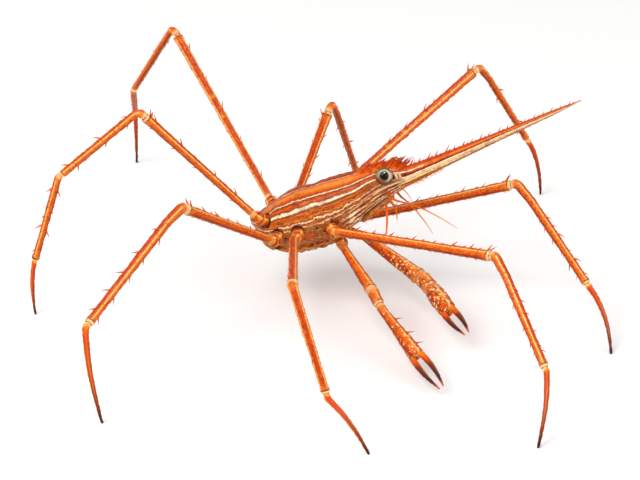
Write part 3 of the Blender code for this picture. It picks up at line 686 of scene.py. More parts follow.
class Value:
    """A number or colour that a node gives; arithmetic on it adds further nodes."""

    def __init__(self, graph: "Graph", socket: Socket) -> None:
        """Hold an output and the graph that it stands in."""
        self.graph = graph
        self.socket = socket

    def __add__(self, other: object) -> "Value":
        """Add a number or value."""
        return self.graph.math("ADD", self, other)

    def __sub__(self, other: object) -> "Value":
        """Take a number or value away."""
        return self.graph.math("SUBTRACT", self, other)

    def __mul__(self, other: object) -> "Value":
        """Multiply by a number or value."""
        return self.graph.math("MULTIPLY", self, other)

    def larger(self, other: object) -> "Value":
        """Give the larger of this and another value."""
        return self.graph.math("MAXIMUM", self, other)

    def sine(self) -> "Value":
        """Give the sine of an angle in radians."""
        return self.graph.math("SINE", self)

    def cosine(self) -> "Value":
        """Give the cosine of an angle in radians."""
        return self.graph.math("COSINE", self)

    def step(self, low: float, high: float) -> "Value":
        """Rise smoothly from 0 at one number to 1 at another, which may be the lower.

        Args:
            low: Where the result is 0.
            high: Where the result is 1.

        Returns:
            The result.
        """
        down = high < low
        first, last = sorted((low, high))
        return self.graph.add("MapRange", {0: self, 1: first, 2: last, 3: float(down), 4: float(not down)},
                              interpolation_type="SMOOTHSTEP")

    def band(self, low: float, high: float, soft: float) -> "Value":
        """Give 1 between two numbers and 0 outside, with soft edges inside them."""
        return self.step(low, low + soft) * self.step(high, high - soft)

    def glaze(self, mask: "Value", strength: float, tint: object) -> "Value":
        """Lay a tint over this colour where a mask shows, at a strength."""
        return self.graph.blend(mask * strength, self, tint)

    def ramp(self, stops: Stops) -> "Value":
        """Turn the value into a colour by stops.

        Args:
            stops: Places from 0 to 1 in rising order, each with its colour.

        Returns:
            The colour, blended evenly between the stops.
        """
        node = self.graph.node("ValToRGB", {0: self})
        elements = node.color_ramp.elements
        while len(elements) < len(stops):
            elements.new(0.5)
        for element, (place, colour) in zip(elements, stops):
            element.position = place
            element.color = colour
        return Value(self.graph, node.outputs[0])


class Graph:
    """Adds and joins the nodes of one material or group."""

    def __init__(self, tree: bpy.types.NodeTree) -> None:
        """Work on a node tree."""
        self.tree = tree

    def feed(self, socket: Socket, value: object) -> None:
        """Join an input to a value, or set it to a plain number, colour or vector.

        Args:
            socket: The input.
            value: What it gets.
        """
        if isinstance(value, Value):
            self.tree.links.new(value.socket, socket)
        else:
            socket.default_value = value

    def node(self, kind: str, inputs: dict, **settings: object) -> bpy.types.Node:
        """Add a node.

        Args:
            kind: Type of the node without its ShaderNode prefix.
            inputs: What the named or numbered inputs get.
            settings: Values for the node's own settings.

        Returns:
            The new node.
        """
        node = self.tree.nodes.new("ShaderNode" + kind)
        for key, value in settings.items():
            setattr(node, key, value)
        for key, value in inputs.items():
            self.feed(node.inputs[key], value)
        return node

    def add(self, kind: str, inputs: dict, output: object = 0, **settings: object) -> Value:
        """Add a node and give the output of a name or number."""
        return Value(self, self.node(kind, inputs, **settings).outputs[output])

    def math(self, operation: str, *values: object) -> Value:
        """Combine values with a Math node."""
        return self.add("Math", dict(enumerate(values)), operation=operation)

    def bend(self, operation: str, inputs: dict) -> Value:
        """Combine vectors with a Vector Math node."""
        return self.add("VectorMath", inputs, operation=operation)

    def blend(self, factor: object, first: object, second: object) -> Value:
        """Blend two colours."""
        return self.add("Mix", {0: factor, 6: first, 7: second}, 2, data_type="RGBA")

    def noise(self, vector: Value, scale: object, detail: float = 3.0, output: str = "Fac") -> Value:
        """Give cloudy noise from 0 to 1."""
        return self.add("TexNoise", {"Vector": vector, "Scale": scale, "Detail": detail}, output)

    def stretched(self, x: object, y: object, z: object, detail: float = 3.0) -> Value:
        """Give noise on three values that are already stretched to its swells."""
        return self.noise(self.add("CombineXYZ", {0: x, 1: y, 2: z}), 1.0, detail)

    def attribute(self, name: str) -> Value:
        """Read one of the mesh's own values."""
        return self.add("Attribute", {}, "Fac", attribute_name=name)

    def skin_uv(self) -> tuple[Value, Value]:
        """Read the place along and around the piece."""
        parts = self.node("SeparateXYZ", {0: self.add("UVMap", {}, uv_map="Skin")})
        return Value(self, parts.outputs[0]), Value(self, parts.outputs[1])

    def room(self) -> Value:
        """Read the object's coordinates."""
        return self.add("TexCoord", {}, "Object")

    def group(self, tree: bpy.types.NodeTree, inputs: dict) -> dict[str, Value]:
        """Place a shared group.

        Args:
            tree: The group.
            inputs: What its named inputs get.

        Returns:
            The group's outputs by name.
        """
        node = self.tree.nodes.new("ShaderNodeGroup")
        node.node_tree = tree
        for key, value in inputs.items():
            self.feed(node.inputs[key], value)
        return {output.name: Value(self, output) for output in node.outputs}


class SharedGroup(Graph):
    """A node group under construction, whose sockets are all plain numbers."""

    def __init__(self, name: str, inputs: dict[str, float], outputs: Sequence[str]) -> None:
        """Start the group.

        Args:
            name: Name of the group.
            inputs: Names and values of its inputs.
            outputs: Names of its outputs.
        """
        super().__init__(bpy.data.node_groups.new(name, "ShaderNodeTree"))
        for title, value in inputs.items():
            socket = self.tree.interface.new_socket(title, in_out="INPUT", socket_type="NodeSocketFloat")
            socket.default_value = value
        for title in outputs:
            self.tree.interface.new_socket(title, in_out="OUTPUT", socket_type="NodeSocketFloat")
        start = self.tree.nodes.new("NodeGroupInput")
        self.inputs = [Value(self, start.outputs[k]) for k in range(len(inputs))]
        self.end = self.tree.nodes.new("NodeGroupOutput")

    def finish(self, *values: Value) -> bpy.types.NodeTree:
        """Join the results to the outputs in order.

        Args:
            values: One result for each output.

        Returns:
            The group's tree.
        """
        for k, value in enumerate(values):
            self.feed(self.end.inputs[k], value)
        return self.tree


def grain_group() -> bpy.types.NodeTree:
    """Build the fine pitted grain that every shelly finish shares.

    Returns:
        A group with coarse mottling, fine specks, fine cloud and a height for bumps.
    """
    graph = SharedGroup("shell_grain", {"Mottle Scale": 1200.0, "Speck Scale": 5200.0},
                        ("Mottle", "Specks", "Fine", "Height"))
    place, (mottle_scale, speck_scale) = graph.room(), graph.inputs
    mottle = graph.noise(place, mottle_scale, 4.0)
    fine = graph.noise(place, speck_scale, 2.0)
    specks = graph.add("TexVoronoi", {"Vector": place, "Scale": speck_scale}, "Distance").step(0.34, 0.16)
    return graph.finish(mottle, specks, fine, fine * 0.6 + specks * 0.4)


def joint_group() -> bpy.types.NodeTree:
    """Build the fading joint bands that every limb piece shares.

    The far end of a piece has a dark mouth, a cream rim and a warm glow that fades away from it;
    the near end has a cream cup and the same glow.

    Returns:
        A group that gives how pale, how warm and how dark a limb is near its two ends.
    """
    graph = SharedGroup("joint_bands", {"Start": 5.0, "End": 5.0, "Around": 0.0}, ("Pale", "Warm", "Dark"))
    start, end, around = graph.inputs
    wobble = (graph.noise(graph.room(), 1700.0) - 0.5) * 0.55
    from_start, to_end = start + wobble, end + wobble
    pale = from_start.step(1.10, 0.75).larger(to_end.band(0.02, 0.50, 0.10))
    patch = graph.noise(graph.room(), 2600.0, 2.0).step(0.40, 0.54)
    warm = from_start.step(2.6, 0.9).larger(to_end.step(2.2, 0.3))
    line = to_end.band(0.46, 0.74, 0.10) * (around * TURN).sine().step(-0.5, 0.3)
    return graph.finish(pale * (patch * 0.55 + 0.45), warm, line.larger(end.step(0.10, 0.03)))


@dataclass
class Workshop:
    """Keeps the shared groups and each finish once it is made."""

    grain: bpy.types.NodeTree = field(default_factory=grain_group)
    joints: bpy.types.NodeTree = field(default_factory=joint_group)
    made: dict[str, bpy.types.Material] = field(default_factory=dict)

    def get(self, *coats: "Coat") -> list[bpy.types.Material]:
        """Give the materials of some finishes, each built at its first use.

        Args:
            coats: The finishes in slot order.

        Returns:
            Their materials.
        """
        for coat in coats:
            if coat.name not in self.made:
                self.made[coat.name] = coat.make(self)
        return [self.made[coat.name] for coat in coats]


class Canvas(Graph):
    """The nodes of one material, with the shared grain placed among them."""

    def __init__(self, tree: bpy.types.NodeTree, shop: Workshop, mottle: float, speck: float) -> None:
        """Place the grain.

        Args:
            tree: Node tree of the material.
            shop: Keeper of the shared groups.
            mottle: Scale of the coarse mottling.
            speck: Scale of the fine specks.
        """
        super().__init__(tree)
        self.shop = shop
        grain = self.group(shop.grain, {"Mottle Scale": mottle, "Speck Scale": speck})
        self.mottle, self.specks, self.fine, self.height = grain.values()


@dataclass(frozen=True)
class Coat:
    """One finish: its plain gloss values, the size of its grain and the depth of its relief."""

    name: str = "coat"
    rough: float = 0.42
    uneven: float = 0.3
    gloss: float = 0.05
    gloss_rough: float = 0.12
    specular: float = 0.10
    mottle: float = 1100.0
    speck: float = 4600.0
    depth: float = 0.06
    strength: float = 0.5

    def paint(self, graph: Canvas) -> tuple[Value, Value]:
        """Lay the colour; each finish has its own way.

        Args:
            graph: Nodes of the material.

        Returns:
            The colour and the height for bumps.
        """
        raise NotImplementedError

    def make(self, shop: Workshop) -> bpy.types.Material:
        """Build the material: painted colour, uneven gloss and fine relief.

        Args:
            shop: Keeper of the shared groups.

        Returns:
            The material.
        """
        material = bpy.data.materials.new(self.name)
        material.use_nodes = True
        shader = material.node_tree.nodes["Principled BSDF"]
        shader.inputs["Coat Weight"].default_value = self.gloss
        shader.inputs["Coat Roughness"].default_value = self.gloss_rough
        shader.inputs["Specular IOR Level"].default_value = self.specular
        graph = Canvas(material.node_tree, shop, self.mottle, self.speck)
        colour, height = self.paint(graph)
        bump = {"Strength": self.strength, "Distance": self.depth * MM, "Height": height}
        smooth = self.rough - self.uneven / 2
        graph.feed(shader.inputs["Base Color"], colour)
        graph.feed(shader.inputs["Roughness"], graph.math("MULTIPLY_ADD", graph.mottle, self.uneven, smooth))
        graph.feed(shader.inputs["Normal"], graph.add("Bump", bump))
        return material


@dataclass(frozen=True)
class Wobble:
    """Noise that shakes the stripes: its swells along and around, and its share on each side."""

    along: float
    around: float
    layer: float
    detail: float
    on_back: float
    on_flank: float


@dataclass(frozen=True)
class Chart:
    """Where a point of the shell or beak lies, as values of the material.

    Station is in millimetres from the tail and v is the folded angle. Level is v with the rise of
    the stripes taken off, and upper and lower are the level as it wobbles on the back and flank.
    """

    u: Value
    v: Value
    station: Value
    level: Value
    upper: Value
    lower: Value
    streak: Value


@dataclass(frozen=True)
class ShellCoat(Coat):
    """Striped shell and beak: bands of colour by the height round the section.

    The UV map holds the station over 60 mm and the folded angle, 0 under the belly, a half at the
    widest line and 1 along the back. The tone holds how far a place stands up on a belly lump.
    """

    name: str = "striped_shell"
    mottle: float = 900.0
    speck: float = 4200.0
    depth: float = 0.11
    strength: float = 0.6
    rise: float = 0.045
    throat_wave: float = 0.08
    wobbles: tuple[Wobble, ...] = (
        Wobble(26.0, 5.0, 0.0, 3.0, 0.040, 0.080), Wobble(150.0, 24.0, 3.0, 2.0, 0.026, 0.050),
        Wobble(420.0, 60.0, 5.0, 1.0, 0.014, 0.018))

    def chart(self, graph: Canvas) -> Chart:
        """Work out where each point lies among the stripes.

        Args:
            graph: Nodes of the material.

        Returns:
            The places of a point.
        """
        u, v = graph.skin_uv()
        station = u * FORM.tip
        level = v - station.step(20.0, 11.0) * station.step(1.0, 7.0) * self.rise
        upper = lower = level
        for wobble in self.wobbles:
            noise = graph.stretched(u * wobble.along, v * wobble.around, wobble.layer, wobble.detail) - 0.5
            upper, lower = upper + noise * wobble.on_back, lower + noise * wobble.on_flank
        streak = graph.stretched(u * 34.0, lower * 120.0, 7.0)
        return Chart(u, v, station, level, upper, lower, streak)

    def paint(self, graph: Canvas) -> tuple[Value, Value]:
        """Lay the bands, streaks, belly, throat, beak, orbit and brow in that order.

        Args:
            graph: Nodes of the material.

        Returns:
            The colour and the height for bumps.
        """
        at = self.chart(graph)
        flank, back = at.lower.ramp(FLANK_STOPS), at.upper.ramp(BACK_STOPS)
        colour = graph.blend(at.level.step(0.548, 0.556), flank, back)
        colour = self.throat(graph, self.belly(graph, self.streaks(colour, at), at), at)
        colour = self.face(graph.blend(at.station.step(25.6, 28.4), colour, self.beak(graph, at)), at)
        colour = colour.glaze(graph.mottle.step(0.50, 0.64), 0.42, TONE.rust)
        colour = colour.glaze(graph.fine.step(0.52, 0.64), 0.30, TONE.rust)
        colour = colour.glaze(graph.specks, 0.22, TONE.pale_yellow)
        colour = colour.glaze(at.station.step(4.2, 1.6) * at.v.step(0.625, 0.665), 0.75, TONE.rust)
        return colour, at.streak * 0.9 + graph.height

    def streaks(self, colour: Value, at: Chart) -> Value:
        """Brush fine dark and gold streaks along the darker bands.

        Args:
            colour: Colour so far.
            at: Where each point lies.

        Returns:
            The colour with streaks.
        """
        bands = (at.lower.band(0.492, 0.60, 0.012) * at.level.step(0.60, 0.585)
                 + at.upper.band(0.636, 0.706, 0.008) + at.lower.band(0.435, 0.476, 0.008) * 0.7)
        colour = colour.glaze(bands * at.streak.step(0.50, 0.62), 0.75, TONE.dark_rust)
        colour = colour.glaze(bands * at.streak.step(0.45, 0.33), 0.65, TONE.gold)
        broad = at.upper.band(0.725, 0.845, 0.02)
        return colour.glaze(broad * at.streak.step(0.54, 0.70), 0.35, TONE.deep_orange)

    def belly(self, graph: Canvas, colour: Value, at: Chart) -> Value:
        """Colour the belly lumps: painted shade in umber and brown down in the creases, cream rims and warm
        tops with rosy patches.

        Args:
            graph: Nodes of the material.
            colour: Colour so far.
            at: Where each point lies.

        Returns:
            The colour with the belly.
        """
        tone = graph.attribute("tone")
        # Painted shade: the lumps darken towards the creases between them.
        lumps = (tone + (graph.fine - 0.5) * 0.30).ramp(LUMP_SHADE_STOPS)
        patch = graph.noise(graph.room(), 520.0, 2.0).step(0.50, 0.60)
        lumps = lumps.glaze(patch * tone.step(0.25, 0.55), 0.65, TONE.red_orange)
        return graph.blend(at.station.step(18.2, 15.4) * at.v.step(0.445, 0.405), colour, lumps)

    def throat(self, graph: Canvas, colour: Value, at: Chart) -> Value:
        """Colour the throat and cheek with long cream, tan and brown lines.

        Args:
            graph: Nodes of the material.
            colour: Colour so far.
            at: Where each point lies.

        Returns:
            The colour with the throat.
        """
        rough = graph.stretched(at.u * 22.0, at.lower * 60.0, 11.0) - 0.5
        lines = (at.lower * (TURN / self.throat_wave)).cosine() * 0.30 + rough * 1.5 + 0.52
        edge = at.station.step(21.5, 25.0) * 0.045 + 0.40
        mask = at.station.step(14.6, 18.0) * (at.v - edge).step(0.02, -0.02)
        return graph.blend(mask, colour, lines.ramp(THROAT_STOPS))

    def beak(self, graph: Canvas, at: Chart) -> Value:
        """Colour the beak: cream sides with brown dots, a dark line and an orange top.

        Args:
            graph: Nodes of the material.
            at: Where each point lies.

        Returns:
            The colour.
        """
        level = at.upper - at.station.step(37.0, 28.5) * at.upper.step(0.46, 0.30) * 0.10
        dots = graph.stretched(at.u * 130.0, level, 9.0, 1.0).step(0.50, 0.58)
        return level.ramp(BEAK_STOPS).glaze(level.band(0.285, 0.325, 0.012) * dots, 0.75, TONE.brown)

    def face(self, colour: Value, at: Chart) -> Value:
        """Colour the brow, the bars of the orbit in front of the eye and the pale line above them.

        Args:
            colour: Colour so far.
            at: Where each point lies.

        Returns:
            The colour with the face.
        """
        station, v = at.station, at.v
        colour = colour.glaze(v.band(0.74, 1.2, 0.06) * station.band(19.0, 31.0, 2.5), 0.85, TONE.orange)
        orbit = station.band(25.4, 28.9, 0.5) * v.band(0.49, 0.635, 0.02)
        colour = colour.graph.blend(orbit, colour, ((station - 25.6) * 0.25).ramp(ORBIT_STOPS))
        colour = colour.glaze(v.band(0.625, 0.690, 0.015) * station.band(25.0, 32.0, 0.8), 0.95, TONE.white)
        return colour.glaze(v.band(0.688, 0.720, 0.012) * station.band(25.0, 30.5, 0.8), 0.8, TONE.red)


@dataclass(frozen=True)
class LimbCoat(Coat):
    """Limb pieces: ochre below, red-orange sides, painted shade and highlight, a broken painted highlight
    line, joint bands.

    The UV map holds the place along the piece and the turn round it. The tone picks out knobs, or
    on the claws it says how thickly the spots lie.
    """

    name: str = "orange_limb"
    red: float = 0.31
    spots: float = 0.0
    pale: float = 0.75
    spot_sizes: tuple[tuple[float, float], ...] = ((1300.0, 0.40), (2300.0, 0.36))
    spot_shake: float = 0.35 * MM

    def paint(self, graph: Canvas) -> tuple[Value, Value]:
        """Lay the colour by the height round the piece as painted shade and highlight, then specks, the
        painted highlight line, spots and bands.

        Args:
            graph: Nodes of the material.

        Returns:
            The colour and the height for bumps.
        """
        _, v = graph.skin_uv()
        start, to_end, tone = (graph.attribute(name) for name in ("from_start", "to_end", "tone"))
        high, across = (v * TURN).sine(), (v * TURN).cosine()
        streak = graph.stretched(start * 0.5, across * 2.4, high * 2.4)
        # Colour by height round the piece: painted shade near the underside and top edge, a lighter painted
        # highlight band above the middle.
        colour = (high * 0.5 + (streak - 0.5) * 0.35 + 0.5).ramp(LIMB_SHADING_STOPS)
        colour = colour.glaze(graph.mottle.step(0.48, 0.60), self.red, TONE.red)
        colour = colour.glaze(graph.fine.step(0.47, 0.38), 0.60, TONE.rust)
        colour = colour.glaze(graph.fine.step(0.53, 0.62) * high.band(-0.7, 1.1, 0.4), 0.50, TONE.gold)
        # A broken straw-coloured line along the upper side is a painted highlight.
        broken = graph.stretched(start * 1.9, 4.0, 0.0, 2.0).step(0.34, 0.48)
        colour = colour.glaze(high.band(0.40, 0.80, 0.16) * broken, 0.85, TONE.highlight_straw)
        if self.spots > 0:
            colour = self.spotted(graph, colour, tone)
        else:
            colour = colour.glaze(tone.step(0.62, 0.90), 0.42, TONE.pale_yellow)
        bands = graph.group(graph.shop.joints, {"Start": start, "End": to_end, "Around": v})
        colour = colour.glaze(bands["Warm"], 0.45, TONE.gold)
        colour = colour.glaze(bands["Pale"], self.pale, TONE.cream)
        colour = colour.glaze(bands["Dark"], 0.88, TONE.umber)
        return colour, graph.height + streak * 0.5

    def spotted(self, graph: Canvas, colour: Value, tone: Value) -> Value:
        """Scatter cream and yellow spots of many sizes, thicker where the tone is high.

        Args:
            graph: Nodes of the material.
            colour: Colour so far.
            tone: How thickly the spots lie, from 0 to 1.

        Returns:
            The colour with spots.
        """
        bent = graph.noise(graph.room(), 2200.0, 1.0, "Color")
        bent = graph.bend("SUBTRACT", {0: bent, 1: (0.5, 0.5, 0.5)})
        shift = graph.bend("SCALE", {0: bent, 3: self.spot_shake})
        place = graph.bend("ADD", {0: graph.room(), 1: shift})
        for scale, size in self.spot_sizes:
            cells = graph.node("TexVoronoi", {"Vector": place, "Scale": scale})
            draw = graph.node("SeparateXYZ", {0: Value(graph, cells.outputs["Color"])})
            chosen = (tone - Value(graph, draw.outputs[0])).step(0.0, 0.06)
            dots = Value(graph, cells.outputs["Distance"]).step(size, size - 0.16) * chosen
            tint = graph.blend(Value(graph, draw.outputs[1]), TONE.white, TONE.pale_yellow)
            colour = colour.glaze(dots, self.spots, tint)
        return colour


@dataclass(frozen=True)
class KnuckleCoat(LimbCoat):
    """Short joint pieces, with wavy rings of cream and rust over the limb's colours."""

    name: str = "ringed_knuckle"
    red: float = 0.30
    depth: float = 0.10

    def paint(self, graph: Canvas) -> tuple[Value, Value]:
        """Lay the limb's colours and the rings, a sine wave along the piece bent by noise.

        Args:
            graph: Nodes of the material.

        Returns:
            The colour and the height for bumps.
        """
        colour, height = super().paint(graph)
        bend = graph.noise(graph.room(), 900.0, 2.0) * 9.0
        rings = (graph.attribute("from_start") * 6.5 + bend).sine()
        colour = colour.glaze(rings.step(0.55, 0.95), 0.50, TONE.pale_yellow)
        return colour.glaze(rings.step(-0.60, -0.95), 0.55, TONE.rust), height + rings * 0.5


@dataclass(frozen=True)
class TipCoat(Coat):
    """Tapering tips, coloured from the root to the point, with a painted highlight above and painted shade
    below.
    """

    name: str = "dark_toe"
    stops: Stops = TOE_STOPS
    # Strength of the painted highlight along the upper side.
    glow: float = 0.55
    mottle: float = 1500.0
    speck: float = 5200.0
    depth: float = 0.05

    def paint(self, graph: Canvas) -> tuple[Value, Value]:
        """Lay the colours along the tip, the painted highlight broken up by fine lines, and painted shade
        underneath.

        Args:
            graph: Nodes of the material.

        Returns:
            The colour and the height for bumps.
        """
        u, v = graph.skin_uv()
        high = (v * TURN).sine()
        lines = graph.stretched(u * 3.0, high * 5.0, 2.0, 2.0)
        # Painted highlight along the upper side, broken by fine lines.
        mask = high.band(0.25, 0.95, 0.25) * lines.step(0.35, 0.60) * u.step(0.95, 0.55)
        colour = (u + (graph.mottle - 0.5) * 0.16).ramp(self.stops).glaze(mask, self.glow, TONE.light_orange)
        # Painted shade along the underside, away from the root.
        colour = colour.glaze(high.step(-0.1, -0.7) * u.step(0.08, 0.2), 0.35, TONE.dark_rust)
        return colour, graph.height + lines


@dataclass(frozen=True)
class SpineCoat(Coat):
    """Thorns and hairs, shaded from the root to the tip."""

    name: str = "thorn"
    stops: Stops = THORN_STOPS

    def paint(self, graph: Canvas) -> tuple[Value, Value]:
        """Lay the shading, shifted a little from spine to spine.

        Args:
            graph: Nodes of the material.

        Returns:
            The colour and the height for bumps.
        """
        u, _ = graph.skin_uv()
        return (u + (graph.noise(graph.room(), 700.0, 1.0) - 0.5) * 0.4).ramp(self.stops), graph.height


@dataclass(frozen=True)
class BellyCoat(Coat):
    """Tail flap and mouth plates in cream and tan with long brown lines."""

    name: str = "lined_belly"
    rough: float = 0.46
    mottle: float = 800.0
    speck: float = 3600.0
    depth: float = 0.09

    def paint(self, graph: Canvas) -> tuple[Value, Value]:
        """Lay the long lines and small warm patches.

        Args:
            graph: Nodes of the material.

        Returns:
            The colour and the height for bumps.
        """
        u, v = graph.skin_uv()
        lines = graph.stretched(u * 5.0, v * 22.0, 1.0)
        colour = lines.ramp(BELLY_STOPS).glaze(graph.mottle.step(0.5, 0.7), 0.4, TONE.ochre)
        return colour, graph.height + lines * 1.5


@dataclass(frozen=True)
class FeelerCoat(Coat):
    """Feelers in plain orange with faint rings, paler towards the tip."""

    name: str = "feeler"

    def paint(self, graph: Canvas) -> tuple[Value, Value]:
        """Lay the orange and the rings, a sine wave along the whip.

        Args:
            graph: Nodes of the material.

        Returns:
            The colour and the height for bumps.
        """
        u, _ = graph.skin_uv()
        rings = (graph.attribute("from_start") * 14.0).sine()
        return u.ramp(FEELER_STOPS).glaze(rings.step(0.6, 1.0), 0.3, TONE.pale_yellow), graph.height + rings


@dataclass(frozen=True)
class IrisPatch:
    """A patch of the iris: where it lies round the eye, how narrow it is, its strength and colour."""

    turn: float
    narrow: float
    strength: float
    tint: Colour


@dataclass(frozen=True)
class EyeCoat(Coat):
    """Glassy eye: black pupil, brown halo, grey-olive iris and a dark rim.

    The UV map holds the angle from the eye's axis over 180 degrees and the turn round it.
    """

    name: str = "glassy_eye"
    rough: float = 0.24
    gloss: float = 0.32
    specular: float = 0.05
    speck: float = 9000.0
    depth: float = 0.012
    strength: float = 0.25
    # The second patch, pale rose on one side of the iris, is a painted reflection.
    patches: tuple[IrisPatch, ...] = (
        IrisPatch(-0.3, 0.05, 0.90, linear(126, 70, 36)), IrisPatch(2.0, 0.75, 0.55, linear(236, 204, 190)),
        IrisPatch(-1.6, 0.70, 0.50, linear(146, 158, 124)))

    def paint(self, graph: Canvas) -> tuple[Value, Value]:
        """Lay the rings of the iris, then a brown patch, a pale rosy painted reflection and a green patch
        round it.

        Args:
            graph: Nodes of the material.

        Returns:
            The colour and the height for bumps.
        """
        from_axis, turn = graph.skin_uv()
        wobble = (graph.noise(graph.room(), 1100.0) - 0.5) * 0.07
        colour = (from_axis + wobble).ramp(EYE_STOPS)
        iris = from_axis.band(0.15, 0.43, 0.05)
        for patch in self.patches:
            facing = (turn * TURN - patch.turn).cosine().step(patch.narrow, 1.0)
            colour = colour.glaze(iris * facing, patch.strength, patch.tint)
        return colour, graph.specks


@dataclass(frozen=True)
class StalkCoat(Coat):
    """Eye stalk with bars of cream and dark red."""

    name: str = "barred_stalk"

    def paint(self, graph: Canvas) -> tuple[Value, Value]:
        """Lay the bars, a sine wave along the stalk bent by noise.

        Args:
            graph: Nodes of the material.

        Returns:
            The colour and the height for bumps.
        """
        wave = (graph.attribute("from_start") * 7.5 + graph.noise(graph.room(), 900.0) * 1.5).sine()
        return graph.math("MULTIPLY_ADD", wave, 0.5, 0.5).ramp(STALK_STOPS), graph.height


SHELL = ShellCoat()
LIMB = LimbCoat()
ARM_LEFT = LimbCoat(name="spotted_claw", red=0.80, spots=0.95, pale=0.22)
ARM_RIGHT = LimbCoat(name="freckled_claw", red=0.45, spots=0.70, pale=0.55)
KNUCKLE = KnuckleCoat()
TOE = TipCoat()
FINGER = TipCoat(name="dark_finger", glow=0.35, gloss=0.08, rough=0.36, stops=FINGER_STOPS)
THORN = SpineCoat()
TOOTH = SpineCoat(name="beak_tooth", stops=TOOTH_STOPS)
HAIR = SpineCoat(name="hair", stops=HAIR_STOPS)
BELLY = BellyCoat()
FEELER = FeelerCoat()
EYE = EyeCoat()
STALK = StalkCoat()


class Assembly:
    """A part of the animal that builds its own pieces."""

    def build(self, shop: Workshop) -> list[Object]:
        """Build and dress the pieces; each part has its own way.

        Args:
            shop: Keeper of the finishes.

        Returns:
            The new objects.
        """
        raise NotImplementedError


@dataclass(frozen=True)
class Reach:
    """A straight length of limb: millimetres, heading and rise in degrees."""

    length: float
    heading: float
    rise: float

    @property
    def vector(self) -> Array:
        """Give the length as a vector."""
        return heading_vector(self.heading, self.rise) * self.length


@dataclass(frozen=True)
class Bend:
    """A rounded corner of a limb's centre line."""

    start: Array
    arc: Array
    into: Array
    out: Array

    @classmethod
    def at(cls, before: Array, here: Array, after: Array, radius: float = 0.95) -> "Bend":
        """Round the corner between three points with an arc.

        Args:
            before: Point before the corner.
            here: The corner.
            after: Point after the corner.
            radius: Radius of the arc.

        Returns:
            The rounded corner.
        """
        into, out = unit(here - before), unit(after - here)
        angle = math.acos(float(np.clip(into @ out, -1, 1)))
        if angle < math.radians(3):
            return cls(here - into * 0.05, (here + out * 0.05)[None], into, out)
        start = here - into * radius * math.tan(angle / 2)
        inward = unit(out - into * float(out @ into))
        t = np.linspace(0, angle, 10)[1:, None]
        return cls(start, start + into * radius * np.sin(t) + inward * radius * (1 - np.cos(t)), into, out)

    def before(self, distance: float) -> Array:
        """Give the point at a distance before the corner, as an array of one row."""
        return (self.start - self.into * distance)[None]


SUNK_START = 0.85
SHORT_END = 0.42


def limb_line(bend: Bend, after: Optional[Bend], extra: Optional[Array] = None) -> Array:
    """Give the line of a limb piece, which starts inside the piece before it.

    Args:
        bend: Corner at its start.
        after: Corner at which the next piece starts, if any.
        extra: Further points of the line.

    Returns:
        Points of the line.
    """
    parts = [bend.before(SUNK_START), bend.start[None], bend.arc]
    if extra is not None:
        parts.append(extra)
    if after is not None:
        parts.append(after.before(SHORT_END))
    return np.concatenate(parts)


@dataclass(frozen=True)
class Stance:
    """The corners of a limb as it stands, from its seat on the shell outwards."""

    root: Array
    outward: Array
    corners: tuple[Array, ...]

    @classmethod
    def of(cls, pair: int, side: Side, *reaches: Reach) -> "Stance":
        """Lay lengths end to end from a seat.

        Args:
            pair: 0 for the claws and 1 to 4 for the legs.
            side: Side of the limb.
            reaches: The lengths in order.

        Returns:
            The stance, whose first corner is the elbow just outside the shell.
        """
        root, outward = FORM.seat(pair, side, FORM.gap)
        corners = [root + outward * 1.35]
        for reach in reaches:
            corners.append(corners[-1] + reach.vector)
        return cls(root, outward, tuple(corners))

    def bends(self, radius: float = 0.95) -> tuple[Bend, Bend, Bend, Bend]:
        """Round the first four corners, the last two with the given radius.

        Args:
            radius: Radius of the arcs at the knee and the wrist.

        Returns:
            The bends at the elbow, hip, knee and wrist.
        """
        elbow, hip, knee, wrist, ankle = self.corners[:5]
        return (Bend.at(self.root, elbow, hip, 0.9), Bend.at(elbow, hip, knee),
                Bend.at(hip, knee, wrist, radius), Bend.at(knee, wrist, ankle, radius))

    def first_piece(self, name: str, seed: int) -> "LimbPiece":
        """Lay out the limb's first piece, out of the shell and round its elbow.

        Args:
            name: Start of the names of the limb's nodes.
            seed: Seed of its relief.

        Returns:
            The piece.
        """
        elbow, hip, _, _ = self.bends()
        line = np.concatenate([(self.root - self.outward * 0.7)[None], self.root[None], elbow.arc,
                               hip.before(SHORT_END)])
        return LimbPiece(name + "coxa", line, (1.00, 0.98, 0.86), KNUCKLE, "limb_joint", seed, neck=1.0,
                         start_band=False, end_band=False)


@dataclass(frozen=True)
class Row:
    """A row of thorns or hairs along a limb piece."""

    spacing: float
    length: float
    base: float
    angles: tuple[float, ...]
    layer: Layer = Layer.TRIM
    spread: float = 10.0
    odd: float = 1.0
    start: float = 1.9
    end: float = 1.3
    lean: tuple[float, float] = (42.0, 58.0)

    def every(self, factor: float) -> "Row":
        """Give the same row with its spacing times a factor."""
        return replace(self, spacing=self.spacing * factor)


